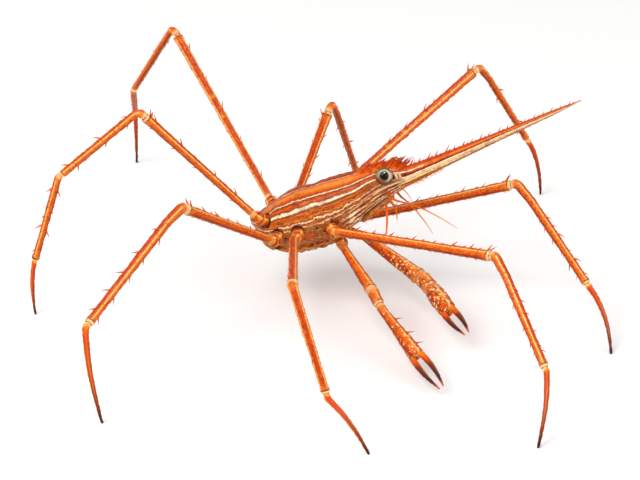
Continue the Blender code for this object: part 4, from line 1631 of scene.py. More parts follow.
HAIR_TURNS = (30.0, 60.0, 85.0, 115.0, 150.0, 210.0, 240.0, 268.0, 300.0, 330.0)
UPPER_ROW = Row(2.0, 1.15, 0.17, (74.0, 108.0), odd=0.62, start=3.0)
LOWER_ROW = Row(1.6, 0.62, 0.12, (250.0, 288.0), odd=0.75, start=3.0)
SIDE_ROW = Row(1.2, 1.00, 0.15, (4.0, 176.0), odd=0.75, start=3.0)
SHIN_UPPER = Row(2.0, 1.35, 0.18, (72.0, 110.0), odd=0.60, start=2.4, lean=(34.0, 50.0))
SHIN_LOWER = Row(2.0, 1.20, 0.16, (252.0, 284.0), odd=0.60, start=2.4, lean=(34.0, 50.0))
KNEE_PAIR = Row(0.001, 1.25, 0.19, (76.0, 112.0), lean=(30.0, 42.0))
KNOB_SPINE = Row(1.0, 1.6, 0.20, (82.0,), lean=(30.0, 40.0))
LIMB_HAIRS = Row(0.13, 0.70, 0.020, HAIR_TURNS, Layer.HAIR)
TOE_HAIRS = Row(0.11, 0.42, 0.017, HAIR_TURNS, Layer.HAIR, end=2.0)
CLAW_HAIRS = Row(0.12, 0.42, 0.017, HAIR_TURNS, Layer.HAIR, end=0.8)


@dataclass(frozen=True)
class LimbPiece:
    """One piece of a limb: its line, thickness, finish and trim.

    The knobs are shares of the length at which a pale knob carries a long thorn. The tones are
    shade values spread along the piece. Without a start or end band that end stays unbanded.
    """

    name: str
    line: Array
    radii: tuple[float, ...]
    coat: Coat
    slot: str
    seed: int
    rows: tuple[Row, ...] = ()
    scale: float = 1.0
    flare: float = 0.10
    neck: float = 0.72
    knobs: tuple[float, ...] = ()
    knob_width: float = 0.55
    knee: bool = False
    tones: tuple[float, ...] = (0.5,)
    start_band: bool = True
    end_band: bool = True
    sides: int = 28

    def thickness(self, run: Run) -> Array:
        """Work out the radius along the piece.

        It follows the named radii, narrows to the neck share over the first 0.7 mm, swells by the
        flare near the end and by a ninth at each knob as bell curves, and closes over the last 0.3 mm.

        Args:
            run: Centre line of the piece.

        Returns:
            One radius for each point of the line.
        """
        x, left = run.travelled, run.length - run.travelled
        radius = run.spread(self.radii) * self.scale
        radius = radius * (self.neck + (1 - self.neck) * smoothstep(0.1, 0.75, x))
        radius = radius * (1 + self.flare * bell(left, 0.70, 0.50) + 0.06 * bell(x, 1.0, 0.35))
        for share in self.knobs:
            radius = radius * (1 + 0.11 * bell(x, share * run.length, self.knob_width))
        return radius * np.where(left < 0.3, np.sqrt(np.clip(left / 0.3, 0.02, 1)) * 0.35 + 0.65, 1.0)

    def skin(self, pole: Array) -> Skin:
        """Make the piece's tube with its thorns and hairs.

        Round the section it has four faint edges, 2% of the cosine of four times the angle, and
        swells of two sizes drawn from its seed. Nothing reaches below the floor.

        Args:
            pole: Direction square to the limb, which steadies the frame.

        Returns:
            The surfaces.
        """
        length = Run.through(self.line, 8, pole).length
        run = Run.through(self.line, int(np.clip(length * 5.0, 34, 190)), pole)
        radius = self.thickness(run)
        turn, ways = ring_angles(self.sides), run.ways(self.sides)
        grid = run.points[:, None] + ways * (radius[:, None] * (1 + 0.02 * np.cos(4 * turn)))[..., None]
        bumps = 0.020 * ripple(grid, 1.1, self.seed) + 0.012 * ripple(grid, 0.45, self.seed + 1)
        grid = grid + ways * bumps[..., None]
        grid[..., 2] = np.maximum(grid[..., 2], 0.0)
        tone = run.spread(self.tones)[:, None] * np.ones(self.sides)
        above = smoothstep(-0.4, 0.6, np.sin(turn))
        for share in self.knobs:
            tone = tone + 0.40 * bell(run.travelled, share * run.length, self.knob_width)[:, None] * above
        skin = Skin()
        skin.add_tube(grid, Layer.SKIN, run.share, run.travelled, None, tone)
        skin.marks[-1][:, 0] += 0.0 if self.start_band else Skin.plain_length
        skin.marks[-1][:, 1] += 0.0 if self.end_band else Skin.plain_length
        self.trim(skin, run, radius)
        return skin

    def trim(self, skin: Skin, run: Run, radius: Array) -> None:
        """Set the rows of thorns and hairs, the pair on the knee and the long thorns of the knobs.

        Args:
            skin: Surfaces of the piece.
            run: Its centre line.
            radius: Its thickness along the line.
        """
        draw = np.random.default_rng(self.seed)
        plan = []
        for row in self.rows:
            usable = run.length - row.start - row.end
            count = int(max(usable, 0) / row.spacing)
            if count > 0:
                steps = (np.arange(count) + draw.uniform(0.2, 0.8, count)) / count
                sizes = np.where(np.arange(count) % 2 == 0, 1.0, row.odd) * draw.uniform(0.75, 1.15, count)
                self.set_row(skin, run, radius, row, row.start + usable * steps, sizes, draw)
        if self.knee:
            plan.append((KNEE_PAIR, run.length - np.array([0.75, 0.95])))
        if self.knobs:
            plan.append((KNOB_SPINE, np.array(self.knobs) * run.length))
        for row, places in plan:
            self.set_row(skin, run, radius, row, places, np.ones(len(places)), draw)

    def set_row(self, skin: Skin, run: Run, radius: Array, row: Row, distance: Array, sizes: Array,
                draw: np.random.Generator) -> None:
        """Set one row of thorns or hairs, each leaning towards the far end of the piece.

        Args:
            skin: Surfaces of the piece.
            run: Its centre line.
            radius: Its thickness along the line.
            row: The row.
            distance: Where each spine stands along the line.
            sizes: Factor on the length of each.
            draw: The piece's own draw.
        """
        count = len(distance)
        hairs = row.layer is Layer.HAIR
        sink, curve, rings, sides = (0.04, 0.12, 3, 3) if hairs else (0.12, 0.22, 5, 7)
        angles = np.array(row.angles)
        picked = draw.integers(0, len(angles), count) if hairs else np.arange(count) % len(angles)
        turn = np.radians(angles[picked] + draw.uniform(-row.spread, row.spread, count))[:, None]
        place, along, outer, side = run.at(distance)
        outward = side * np.cos(turn) + outer * np.sin(turn)
        lean = np.radians(draw.uniform(*row.lean, count))[:, None]
        ways = unit(outward * np.cos(lean) + along * np.sin(lean))
        thick = np.interp(distance, run.travelled, radius)[:, None]
        lengths = row.length * sizes * (1.0 if hairs else self.scale) + sink
        bases = np.full(count, row.base) * np.clip(sizes, 0.7, 1.1)
        skin.add_spines(Spines(place + outward * (thick - sink), ways, along * curve, lengths, bases,
                               row.layer, rings, sides))

    def build(self, pole: Array, shop: Workshop, extra: Optional[Callable[[Skin], None]] = None) -> Object:
        """Build and dress the piece.

        Args:
            pole: Direction square to the limb.
            shop: Keeper of the finishes.
            extra: Adds more surfaces before the piece is stored.

        Returns:
            The new object.
        """
        skin = self.skin(pole)
        if extra is not None:
            extra(skin)
        return show(skin, self.name, shop.get(self.coat, THORN, HAIR, FINGER))


@dataclass(frozen=True)
class WalkingLeg(Assembly):
    """One walking leg as it stands, from the shell to the toe.

    Sparse is a factor on the spacing of its thorns; from the side-thorn limit on, the thigh also
    has thorns along its sides. A carpus over the long limit is dressed as part of the shin.
    """

    side: Side
    pair: int
    coxa: Reach
    merus: Reach
    carpus: Reach
    propodus: Reach
    dactyl_length: float
    dactyl_heading: float
    bulge: float
    shin: float
    sparse: float = 1.0
    knobs: tuple[float, ...] = ()
    merus_radii: tuple[float, ...] = (0.66, 0.72, 0.74, 0.84)
    carpus_radii: tuple[float, ...] = (0.80, 0.78, 0.74)
    propodus_radii: tuple[float, ...] = (0.72, 0.74, 0.66, 0.70)
    dactyl_radii: tuple[float, ...] = (0.56, 0.48, 0.43, 0.37, 0.29, 0.23)
    hind_size: float = 0.9
    toe_shin: float = 0.88
    side_thorn_limit: float = 1.55
    long_carpus: float = 10.0

    def sabre(self, ankle: Array) -> Array:
        """Give the last joint's line, a quadratic curve to the floor pulled away from the body.

        Args:
            ankle: Start of the curve.

        Returns:
            Points after the start.
        """
        run = math.sqrt(max(self.dactyl_length ** 2 - ankle[2] ** 2, 0.01))
        toe = ankle * np.array([1, 1, 0]) + heading_vector(self.dactyl_heading, 0) * run
        bow = (ankle + toe) / 2 + heading_vector(self.propodus.heading, 0) * self.bulge * 1.2
        bow = bow + np.array([0, 0, self.bulge * 1.2])
        return bent_line(ankle, bow, toe, np.linspace(0, 1, 21)[1:, None])

    def pieces(self) -> list[LimbPiece]:
        """Lay out the five pieces along the rounded line of the leg.

        Returns:
            The pieces from the shell outwards.
        """
        stance = Stance.of(self.pair, self.side, self.coxa, self.merus, self.carpus, self.propodus)
        wrist, ankle = stance.corners[3:]
        _, at_hip, at_knee, at_wrist = stance.bends()
        sabre = self.sabre(ankle)
        at_ankle = Bend.at(wrist, ankle, sabre[0])
        name = f"leg_{self.side.value}_{self.pair}_"
        size = self.hind_size if self.pair == 4 else 1.0
        seed = 100 * self.pair + (50 if self.side is Side.LEFT else 0)
        long = self.carpus.length > self.long_carpus
        shin_rows = (SHIN_UPPER.every(self.sparse), SHIN_LOWER.every(self.sparse), LIMB_HAIRS)
        thigh_rows = (UPPER_ROW.every(self.sparse), LOWER_ROW.every(self.sparse), LIMB_HAIRS)
        if self.sparse > self.side_thorn_limit:
            thigh_rows += (SIDE_ROW.every(self.sparse),)
        return [
            stance.first_piece(name, seed),
            LimbPiece(name + "merus", limb_line(at_hip, at_knee), self.merus_radii, LIMB, "limb_shell",
                      seed + 1, thigh_rows, size, knobs=self.knobs, knee=True),
            LimbPiece(name + "carpus", limb_line(at_knee, at_wrist), self.carpus_radii, LIMB, "limb_joint",
                      seed + 2, shin_rows if long else (LIMB_HAIRS,), size * self.shin,
                      flare=0.10 if long else 0.0, end_band=long),
            LimbPiece(name + "propodus", limb_line(at_wrist, at_ankle), self.propodus_radii, LIMB,
                      "limb_shell", seed + 3, shin_rows, size * self.shin, neck=0.80 if long else 0.96,
                      start_band=long),
            LimbPiece(name + "dactyl", limb_line(at_ankle, None, sabre), self.dactyl_radii, TOE, "toe",
                      seed + 4, (TOE_HAIRS,), size * max(self.shin, self.toe_shin), flare=0.0),
        ]

    def build(self, shop: Workshop) -> list[Object]:
        """Build the leg, with frames steadied by the plane of its knee.

        Args:
            shop: Keeper of the finishes.

        Returns:
            The new objects.
        """
        pole = unit(np.cross(self.merus.vector, self.propodus.vector))
        if np.cross(pole, self.merus.vector)[2] < 0:
            pole = -pole
        return [piece.build(pole, shop) for piece in self.pieces()]


@dataclass(frozen=True)
class ClawArm(Assembly):
    """One claw arm with its palm and two fingers."""

    side: Side
    coxa: Reach
    merus: Reach
    carpus: Reach
    palm: Reach
    finger: Reach
    arm_radii: tuple[float, ...]
    elbow_radii: tuple[float, ...]
    palm_radii: tuple[float, ...]
    coat: Coat
    arm_tones: tuple[float, ...]
    palm_tones: tuple[float, ...]
    spikes: tuple[float, ...] = ()
    gape: tuple[float, float] = (25.0, 33.0)
    bow: float = 0.36
    finger_radii: tuple[float, ...] = (0.54, 0.50, 0.41, 0.28, 0.12)
    finger_sides: int = 20
    teeth: int = 12
    bend: float = 1.8

    def add_finger(self, skin: Skin, layer: Layer, root: Array, tip: Array, pole: Array, inner: Array,
                   seed: int) -> None:
        """Add one tapering finger with a row of small teeth on its inner edge.

        Its line is straight from root to tip plus a half sine wave away from the other finger.

        Args:
            skin: Surfaces of the piece.
            layer: Material slot of the finger.
            root: Start of its line.
            tip: End of its line.
            pole: Direction square to the claw.
            inner: Direction of the other finger.
            seed: Seed of its bumps.
        """
        t = np.linspace(0, 1, 25)[:, None]
        line = root * (1 - t) + tip * t + inner * -self.bow * np.sin(np.pi * t)
        run = Run.through(line, 60, pole)
        radius = run.spread(self.finger_radii)
        grid = run.rings(radius, self.finger_sides)
        grid = grid + run.ways(self.finger_sides) * (0.014 * ripple(grid, 0.8, seed))[..., None]
        skin.add_tube(grid, layer, run.share, run.travelled)
        distance = np.linspace(run.length * 0.25, run.length * 0.90, self.teeth)
        place, _, _, _ = run.at(distance)
        thick = np.interp(distance, run.travelled, radius)[:, None]
        ways = np.repeat(inner[None], self.teeth, axis=0)
        skin.add_spines(Spines(place + ways * (thick - 0.08), ways, ways * 0.0, np.full(self.teeth, 0.20),
                               np.full(self.teeth, 0.10), Layer.TRIM, 3, 6))

    def add_spikes(self, skin: Skin, run: Run) -> None:
        """Add curved thorns on swollen knobs along the upper edge of the palm.

        Args:
            skin: Surfaces of the palm.
            run: Its centre line.
        """
        distance = np.array(self.spikes) * run.length
        place, along, outer, _ = run.at(distance)
        radius = np.interp(distance, run.travelled, run.spread(self.palm_radii))[:, None]
        ways = unit(outer + along * 0.35)
        roots = place + outer * (radius - 0.25)
        count = len(distance)
        for length, base, layer in ((0.60, 0.40, Layer.SKIN), (1.45, 0.17, Layer.TRIM)):
            skin.add_spines(Spines(roots, ways, along * 0.25, np.full(count, length), np.full(count, base),
                                   layer, 6, 9))

    def build(self, shop: Workshop) -> list[Object]:
        """Build the five pieces of the arm; the fixed finger is part of the palm.

        Args:
            shop: Keeper of the finishes.

        Returns:
            The new objects.
        """
        stance = Stance.of(0, self.side, self.coxa, self.merus, self.carpus, self.palm)
        heel = stance.corners[4]
        _, at_hip, at_knee, at_wrist = stance.bends(self.bend)
        aim, tip = unit(self.finger.vector), heel + self.finger.vector
        gape = heading_vector(*self.gape)
        gape = unit(gape - aim * float(gape @ aim))
        pole = unit(np.cross(aim, gape))
        name = f"claw_{self.side.value}_"
        seed = 900 if self.side is Side.LEFT else 950
        palm_line = np.concatenate([limb_line(at_wrist, None), (heel + aim * 0.3)[None]])

        def thumb(skin: Skin) -> None:
            """Add the fixed finger and the spikes to the palm.

            Args:
                skin: Surfaces of the palm.
            """
            root = heel - gape * 0.80 - aim * 1.2
            self.add_finger(skin, Layer.TIP, root, tip - gape * 0.28, pole, gape, seed + 7)
            if self.spikes:
                self.add_spikes(skin, Run.through(palm_line, 60, pole))

        first = stance.first_piece(name, seed)
        arm = LimbPiece(name + "merus", limb_line(at_hip, at_knee), self.arm_radii, self.coat, "limb_shell",
                        seed + 1, (CLAW_HAIRS,), tones=self.arm_tones)
        elbow = LimbPiece(name + "carpus", limb_line(at_knee, at_wrist), self.elbow_radii, self.coat,
                          "limb_joint", seed + 2, (CLAW_HAIRS,), tones=(self.palm_tones[0],))
        palm = LimbPiece(name + "palm", palm_line, self.palm_radii, self.coat, "limb_shell", seed + 3,
                         (CLAW_HAIRS,), flare=0.04, tones=self.palm_tones, end_band=False)
        made = [piece.build(pole, shop) for piece in (first, arm, elbow)]
        made.append(palm.build(pole, shop, thumb))
        skin = Skin()
        root = heel + gape * 0.70 - aim * 0.1
        self.add_finger(skin, Layer.SKIN, root, tip + gape * 0.50, pole, -gape, seed + 8)
        made.append(show(skin, name + "finger", shop.get(FINGER, THORN)))
        return made


@dataclass(frozen=True)
class Shell(Assembly):
    """The body shell with its regions, ridges, lumps, seats and crest."""

    rings: int = 250
    columns: int = 260
    ridge_heights: tuple[float, ...] = (0.43, 0.48, 0.616, 0.714, 0.855)
    ridge: float = 0.065
    throat_ridges: tuple[float, ...] = (0.08, 0.16, 0.24, 0.32, 0.40)
    throat_ridge: float = 0.17
    lump: float = 0.44
    girth: float = 15.0
    crest_count: int = 84
    socket_radius: float = 1.12
    socket_thickness: float = 0.24

    def lumps(self, hull: Hull) -> Array:
        """Give the belly lumps: the greatest of many domes, each the root of 1 - d^2.

        Args:
            hull: The plain skin.

        Returns:
            How far up its lump each point stands, from 0 to 1.
        """
        draw = np.random.default_rng(5)
        st, left = hull.st, hull.points[..., 1] > 0
        share = np.zeros(st.shape)
        for row, height in enumerate(np.arange(0.045, 0.44, 0.062)):
            for station in np.arange(1.4 + 0.6 * (row % 2), 21.0, 1.25):
                for face in (False, True):
                    at = station + draw.uniform(-0.25, 0.25)
                    level = height + draw.uniform(-0.012, 0.012)
                    size = draw.uniform(0.56, 0.80)
                    far = (st - at) ** 2 + ((hull.fold - level) * self.girth) ** 2
                    dome = np.sqrt(np.clip(1 - far / size ** 2, 0, 1)) * (left == face)
                    share = np.maximum(share, dome * draw.uniform(0.75, 1.0))
        return share * (1 - smoothstep(15.0, 18.5, st)) * smoothstep(0.6, 2.0, st)

    def relief(self, hull: Hull, dome: Array) -> Array:
        """Give how far the skin rises.

        It rises at the gut, heart and gill regions and the brow as bell curves, along each pale band
        and throat line as narrow ridges, and in the belly lumps; it sinks between the regions and in
        the orbit behind each eye.

        Args:
            hull: The plain skin.
            dome: How far up its lump each point stands.

        Returns:
            The rise at each point in millimetres.
        """
        st, fold, out = hull.st, hull.fold, np.abs(hull.points[..., 1])
        fade = smoothstep(0.2, 2.0, st)
        throat = smoothstep(15.5, 18.0, st) * (1 - smoothstep(26, 28, st))
        lift = smoothstep(0.58, 0.75, fold) * (
            0.22 * bell(st, 16.5, 2.4) * bell(out, 0, 2.6) + 0.24 * bell(st, 8.0, 2.0) * bell(out, 0, 2.2)
            + 0.26 * bell(st, 7.5, 3.4) * bell(out, 3.9, 1.5) - 0.20 * bell(st, 12.2, 1.0) * bell(out, 0, 3.6)
            - 0.14 * bell(out, 2.4, 0.5) * bell(st, 8.0, 3.0))
        lift = lift + dome * self.lump
        for height in self.ridge_heights:
            lift += fade * self.ridge * bell(fold, height, 0.010)
        for height in self.throat_ridges:
            lift += self.throat_ridge * bell(fold, height, 0.016) * throat
        lift += 0.35 * bell(st, 24.2, 1.5) * bell(fold, 0.80, 0.09)
        lift -= 0.30 * bell(st, 24.7, 1.0) * bell(fold, 0.56, 0.07)
        return lift + (0.022 * ripple(hull.points, 1.4, 3) * fade + 0.010 * ripple(hull.points, 0.5, 4))

    def build(self, shop: Workshop) -> list[Object]:
        """Build the shell with its crest, hairs and limb sockets.

        Args:
            shop: Keeper of the finishes.

        Returns:
            The new object.
        """
        share = np.linspace(0, 1, self.rings)
        hull = Hull(FORM.shell_end * (0.55 * share + 0.45 * share ** 1.35), self.columns)
        dome = self.lumps(hull)
        skin = Skin()
        hull.raise_into(skin, self.relief(hull, dome), dome)
        self.crest(skin)
        self.hairs(skin)
        self.sockets(skin)
        return [show(skin, "carapace", shop.get(SHELL, THORN, HAIR))]

    def crest(self, skin: Skin) -> None:
        """Set the dense flame-like thorns between and behind the eyes, leaning forwards.

        Args:
            skin: Surfaces of the piece.
        """
        draw = np.random.default_rng(21)
        count = self.crest_count
        stations = np.linspace(20.8, 28.1, count) + draw.uniform(-0.15, 0.15, count)
        angles = 90 + np.clip(draw.normal(0, 27, count), -60, 60)
        place, normal = FORM.skin(stations, angles), FORM.normal(stations, angles)
        lean = np.radians(draw.uniform(35, 60, count))[:, None]
        ways = unit(normal * np.cos(lean) + FORWARD * np.sin(lean))
        size = np.interp(stations, [21.0, 26.0, 28.2], [0.55, 1.45, 1.5]) * draw.uniform(0.65, 1.35, count)
        skin.add_spines(Spines(BODY.place(place - normal * 0.15), BODY.aim(ways), BODY.aim(FORWARD * 0.35),
                               size + 0.15, 0.22 * draw.uniform(0.8, 1.2, count), Layer.TRIM, 6, 8))

    def hairs(self, skin: Skin) -> None:
        """Scatter short hairs over the flanks and face, and longer ones along the belly.

        Args:
            skin: Surfaces of the piece.
        """
        draw = np.random.default_rng(22)
        for count, low, high, size, first, last in ((700, -70, 50, 0.30, 3.0, 28.0),
                                                    (420, -86, -50, 0.75, 2.0, 24.0)):
            stations = draw.uniform(first, last, count)
            angles = draw.uniform(low, high, count)
            angles = np.where(draw.random(count) < 0.5, angles, 180 - angles)
            place, normal = FORM.skin(stations, angles), FORM.normal(stations, angles)
            ways = unit(normal + np.array([0.8, 0.0, -0.2]) + draw.normal(0, 0.15, (count, 3)))
            lengths = size * draw.uniform(0.6, 1.3, count)
            skin.add_spines(Spines(BODY.place(place + normal * 0.05), BODY.aim(ways), np.zeros(3), lengths,
                                   np.full(count, 0.018), Layer.HAIR, 3, 3))

    def sockets(self, skin: Skin) -> None:
        """Set a wrinkled raised ring round every limb seat, a circle carried round a circle.

        Args:
            skin: Surfaces of the piece.
        """
        turn = np.linspace(0, TURN, 48)
        small = ring_angles(12)[None, :, None]
        thick = self.socket_thickness + 0.02 * np.cos(5 * turn)[:, None, None]
        for pair in range(len(FORM.seats)):
            for side in Side:
                place, normal = FORM.seat(pair, side, -0.12)
                first = unit(np.cross(normal, np.array([0.3, 0.2, 1.0])))
                spoke = first * np.cos(turn)[:, None] + np.cross(normal, first) * np.sin(turn)[:, None]
                ring = (place + spoke[:, None] * (self.socket_radius + thick * np.cos(small))
                        + normal * thick * np.sin(small))
                tone = 0.16 + 0.10 * np.cos(3 * turn)
                skin.add_tube(ring, Layer.SKIN, np.full(48, 0.12), None, np.full(13, 0.36), tone)


@dataclass(frozen=True)
class Beak(Assembly):
    """The long beak with thorns above, teeth below and a fringe under its root."""

    rings: int = 210
    columns: int = 80
    root: float = 29.0
    reach: float = 31.0

    def build(self, shop: Workshop) -> list[Object]:
        """Build the beak with its thorns, teeth and fringe.

        The section points are moved along their normals: out at a sharp ridge along the top and the
        lower edge, and in at a groove where the orange meets the cream.

        Args:
            shop: Keeper of the finishes.

        Returns:
            The new object.
        """
        hull = Hull(np.linspace(FORM.shell_end - 0.06, FORM.tip, self.rings), self.columns)
        st, fold = hull.st, hull.fold
        fade = smoothstep(28.2, 31.0, st) * (1 - smoothstep(54.0, 60.0, st))
        lift = fade * (0.10 * bell(fold, 1.0, 0.06) + 0.08 * bell(fold, 0.0, 0.08)
                       + 0.04 * bell(fold, 0.42, 0.03) - 0.09 * bell(fold, 0.50, 0.035)
                       - 0.05 * bell(fold, 0.19, 0.03)) - 0.012 * (st < 28.3)
        skin = Skin()
        hull.raise_into(skin, lift + 0.014 * fade * ripple(hull.points, 0.9, 8))
        self.thorns(skin)
        self.teeth(skin)
        self.fringe(skin)
        return [show(skin, "rostrum", shop.get(SHELL, THORN, HAIR, TOOTH))]

    def set_spines(self, skin: Skin, stations: Array, angles: Array, ways: Array, lengths: Array,
                   bases: Array, layer: Layer, fine: tuple[int, int]) -> None:
        """Set spines on the beak's skin.

        Args:
            skin: Surfaces of the piece.
            stations: Station of each spine.
            angles: Angle round the section of each.
            ways: Body directions, or one for all.
            lengths: Length of each.
            bases: Thickness of each at its root.
            layer: Material slot.
            fine: Rings along a spine and faces round it.
        """
        place, normal = FORM.skin(stations, angles), FORM.normal(stations, angles)
        aimed = unit(normal * 0.8 + ways)
        skin.add_spines(Spines(BODY.place(place - normal * 0.07), BODY.aim(aimed), BODY.aim(FORWARD * 0.12),
                               lengths, bases, layer, *fine))

    def thorns(self, skin: Skin) -> None:
        """Set long and short thorns in turn along the top, curved forwards.

        Args:
            skin: Surfaces of the piece.
        """
        draw = np.random.default_rng(31)
        stations = np.arange(29.0, 58.8, 0.80)
        count = len(stations)
        order = np.arange(count)
        stations = stations + draw.uniform(-0.12, 0.12, count)
        shrink = 1 - 0.5 * (stations - self.root) / self.reach
        sizes = np.where(order % 2 == 0, 1.35, 0.62) * shrink * draw.uniform(0.85, 1.15, count)
        angles = 90 + np.where(order // 2 % 2 == 0, -15.0, 15.0) + draw.uniform(-6, 6, count)
        self.set_spines(skin, stations, angles, np.array([0.85, 0, 0.2]), sizes, 0.19 * shrink, Layer.TRIM,
                        (6, 7))

    def teeth(self, skin: Skin) -> None:
        """Set a row of fine teeth along the lower edge of each side.

        Args:
            skin: Surfaces of the piece.
        """
        draw = np.random.default_rng(32)
        for angle in (-62.0, -118.0):
            stations = np.arange(29.4, 58.5, 0.72)
            count = len(stations)
            stations = stations + draw.uniform(-0.1, 0.1, count)
            shrink = 1 - 0.55 * (stations - self.root) / self.reach
            self.set_spines(skin, stations, np.full(count, angle), np.array([0.7, 0, -0.2]),
                            0.42 * shrink * draw.uniform(0.7, 1.2, count), 0.10 * shrink, Layer.TIP, (3, 5))

    def fringe(self, skin: Skin) -> None:
        """Set fine hairs under the root of the beak and shorter ones further out.

        Args:
            skin: Surfaces of the piece.
        """
        draw = np.random.default_rng(33)
        for count, first, last, size in ((260, 28.3, 34.0, 0.85), (240, 34.0, 56.0, 0.40)):
            angles = draw.uniform(-80, -46, count)
            angles = np.where(draw.random(count) < 0.5, angles, 180 - angles)
            self.set_spines(skin, draw.uniform(first, last, count), angles,
                            np.array([0.5, 0, -0.5]) + draw.normal(0, 0.15, (count, 3)),
                            size * draw.uniform(0.6, 1.3, count), np.full(count, 0.018), Layer.HAIR, (3, 3))


@dataclass(frozen=True)
class Eye(Assembly):
    """One eye on its short stalk."""

    side: Side
    station: float = 25.5
    out: float = 4.2
    up: float = -0.45
    radius: float = 1.45
    axis: tuple[float, float, float] = (0.30, 1.0, 0.22)
    stalk_shares: tuple[float, ...] = (0, 0.3, 0.55, 0.8, 1.0)
    stalk_radii: tuple[float, ...] = (1.0, 0.85, 0.9, 1.22, 1.40)

    def build(self, shop: Workshop) -> list[Object]:
        """Build the eye: a sphere whose poles lie on its outward axis, and a cupped stalk.

        Args:
            shop: Keeper of the finishes.

        Returns:
            The new object.
        """
        centre = BODY.place(np.array([self.station, self.out, self.up]) * self.side.flip)
        axis = unit(BODY.aim(np.array(self.axis) * self.side.flip))
        low = BODY.aim(np.array([-0.6, 0.0, -0.8]))
        low = unit(low - axis * float(low @ axis))
        polar = np.linspace(0, np.pi, 66)[1:-1]
        turn = ring_angles(72)[:, None]
        flat = low * np.cos(turn) + np.cross(axis, low) * np.sin(turn)
        ball = centre + self.radius * (axis * np.cos(polar)[:, None, None]
                                       + flat[None] * np.sin(polar)[:, None, None])
        skin = Skin()
        skin.add_tube(ball, Layer.SKIN, polar / np.pi)
        inner = BODY.place(np.array([self.station, 1.3, self.up - 0.45]) * self.side.flip)
        line = np.stack([inner, inner * 0.45 + centre * 0.55, centre - axis * 0.35])
        run = Run.through(line, 46, BODY.aim(FORWARD))
        radius = np.interp(run.share, self.stalk_shares, self.stalk_radii)
        radius = radius * (1 + 0.03 * np.cos(run.travelled * 7.5))
        skin.add_tube(run.rings(radius, 40), Layer.TRIM, run.share, run.travelled)
        return [show(skin, f"eye_{self.side.value}", shop.get(EYE, STALK))]


@dataclass(frozen=True)
class Whip:
    """A fine ringed whip that follows a quadratic curve, given in body points."""

    start: Array
    middle: Array
    tip: Array
    radii: tuple[float, ...] = (0.15, 0.12, 0.105, 0.085, 0.04)

    def add(self, skin: Skin, layer: Layer) -> None:
        """Add the whip; its curve passes through the middle point halfway.

        Args:
            skin: Surfaces of the piece.
            layer: Material slot.
        """
        pull = 2 * self.middle - (self.start + self.tip) / 2
        line = BODY.place(bent_line(self.start, pull, self.tip, np.linspace(0, 1, 50)[:, None]))
        run = Run.through(line, 90, BODY.aim(np.array([0.1, 1.0, 0.0])))
        radius = run.spread(self.radii) * (1 + 0.07 * np.cos(run.travelled * 14.0))
        skin.add_tube(run.rings(radius, 12), layer, run.share, run.travelled)


@dataclass(frozen=True)
class Feeler(Assembly):
    """One feeler: a stout stump, its long whip and, on one side, a second finer one."""

    side: Side
    reach: tuple[float, float, float]
    twin: Optional[Whip] = None
    station: float = 24.4
    angle: float = -46.0
    stump_length: float = 1.6
    stump_radius: float = 0.34
    stump_taper: float = 0.17
    bow: float = 0.6

    def build(self, shop: Workshop) -> list[Object]:
        """Build the stump and the whips on one piece.

        Args:
            shop: Keeper of the finishes.

        Returns:
            The new object.
        """
        root, normal = FORM.skin(self.station, self.angle), FORM.normal(self.station, self.angle)
        root = root + normal * FORM.gap
        reach = np.array(self.reach)
        elbow = root + normal * 0.9
        wrist = elbow + unit(reach) * self.stump_length
        flip = self.side.flip
        run = Run.through(BODY.place(np.stack([root - normal * 0.5, elbow, wrist]) * flip), 40,
                          BODY.aim(np.array([0.1, 1.0, 0.3])))
        radius = (self.stump_radius - self.stump_taper * run.share) * (1 + 0.10 * np.cos(run.share * 12.5))
        skin = Skin()
        skin.add_tube(run.rings(radius, 20), Layer.SKIN, run.share * 0.2, run.travelled)
        start, tip = wrist - unit(reach) * 0.3, wrist + reach
        middle = (start + tip) / 2 + BODY.turn.T @ np.array([0, 0, self.bow])
        Whip(start * flip, middle * flip, tip * flip).add(skin, Layer.SKIN)
        if self.twin is not None:
            self.twin.add(skin, Layer.SKIN)
        return [show(skin, f"antenna_{self.side.value}", shop.get(FEELER))]


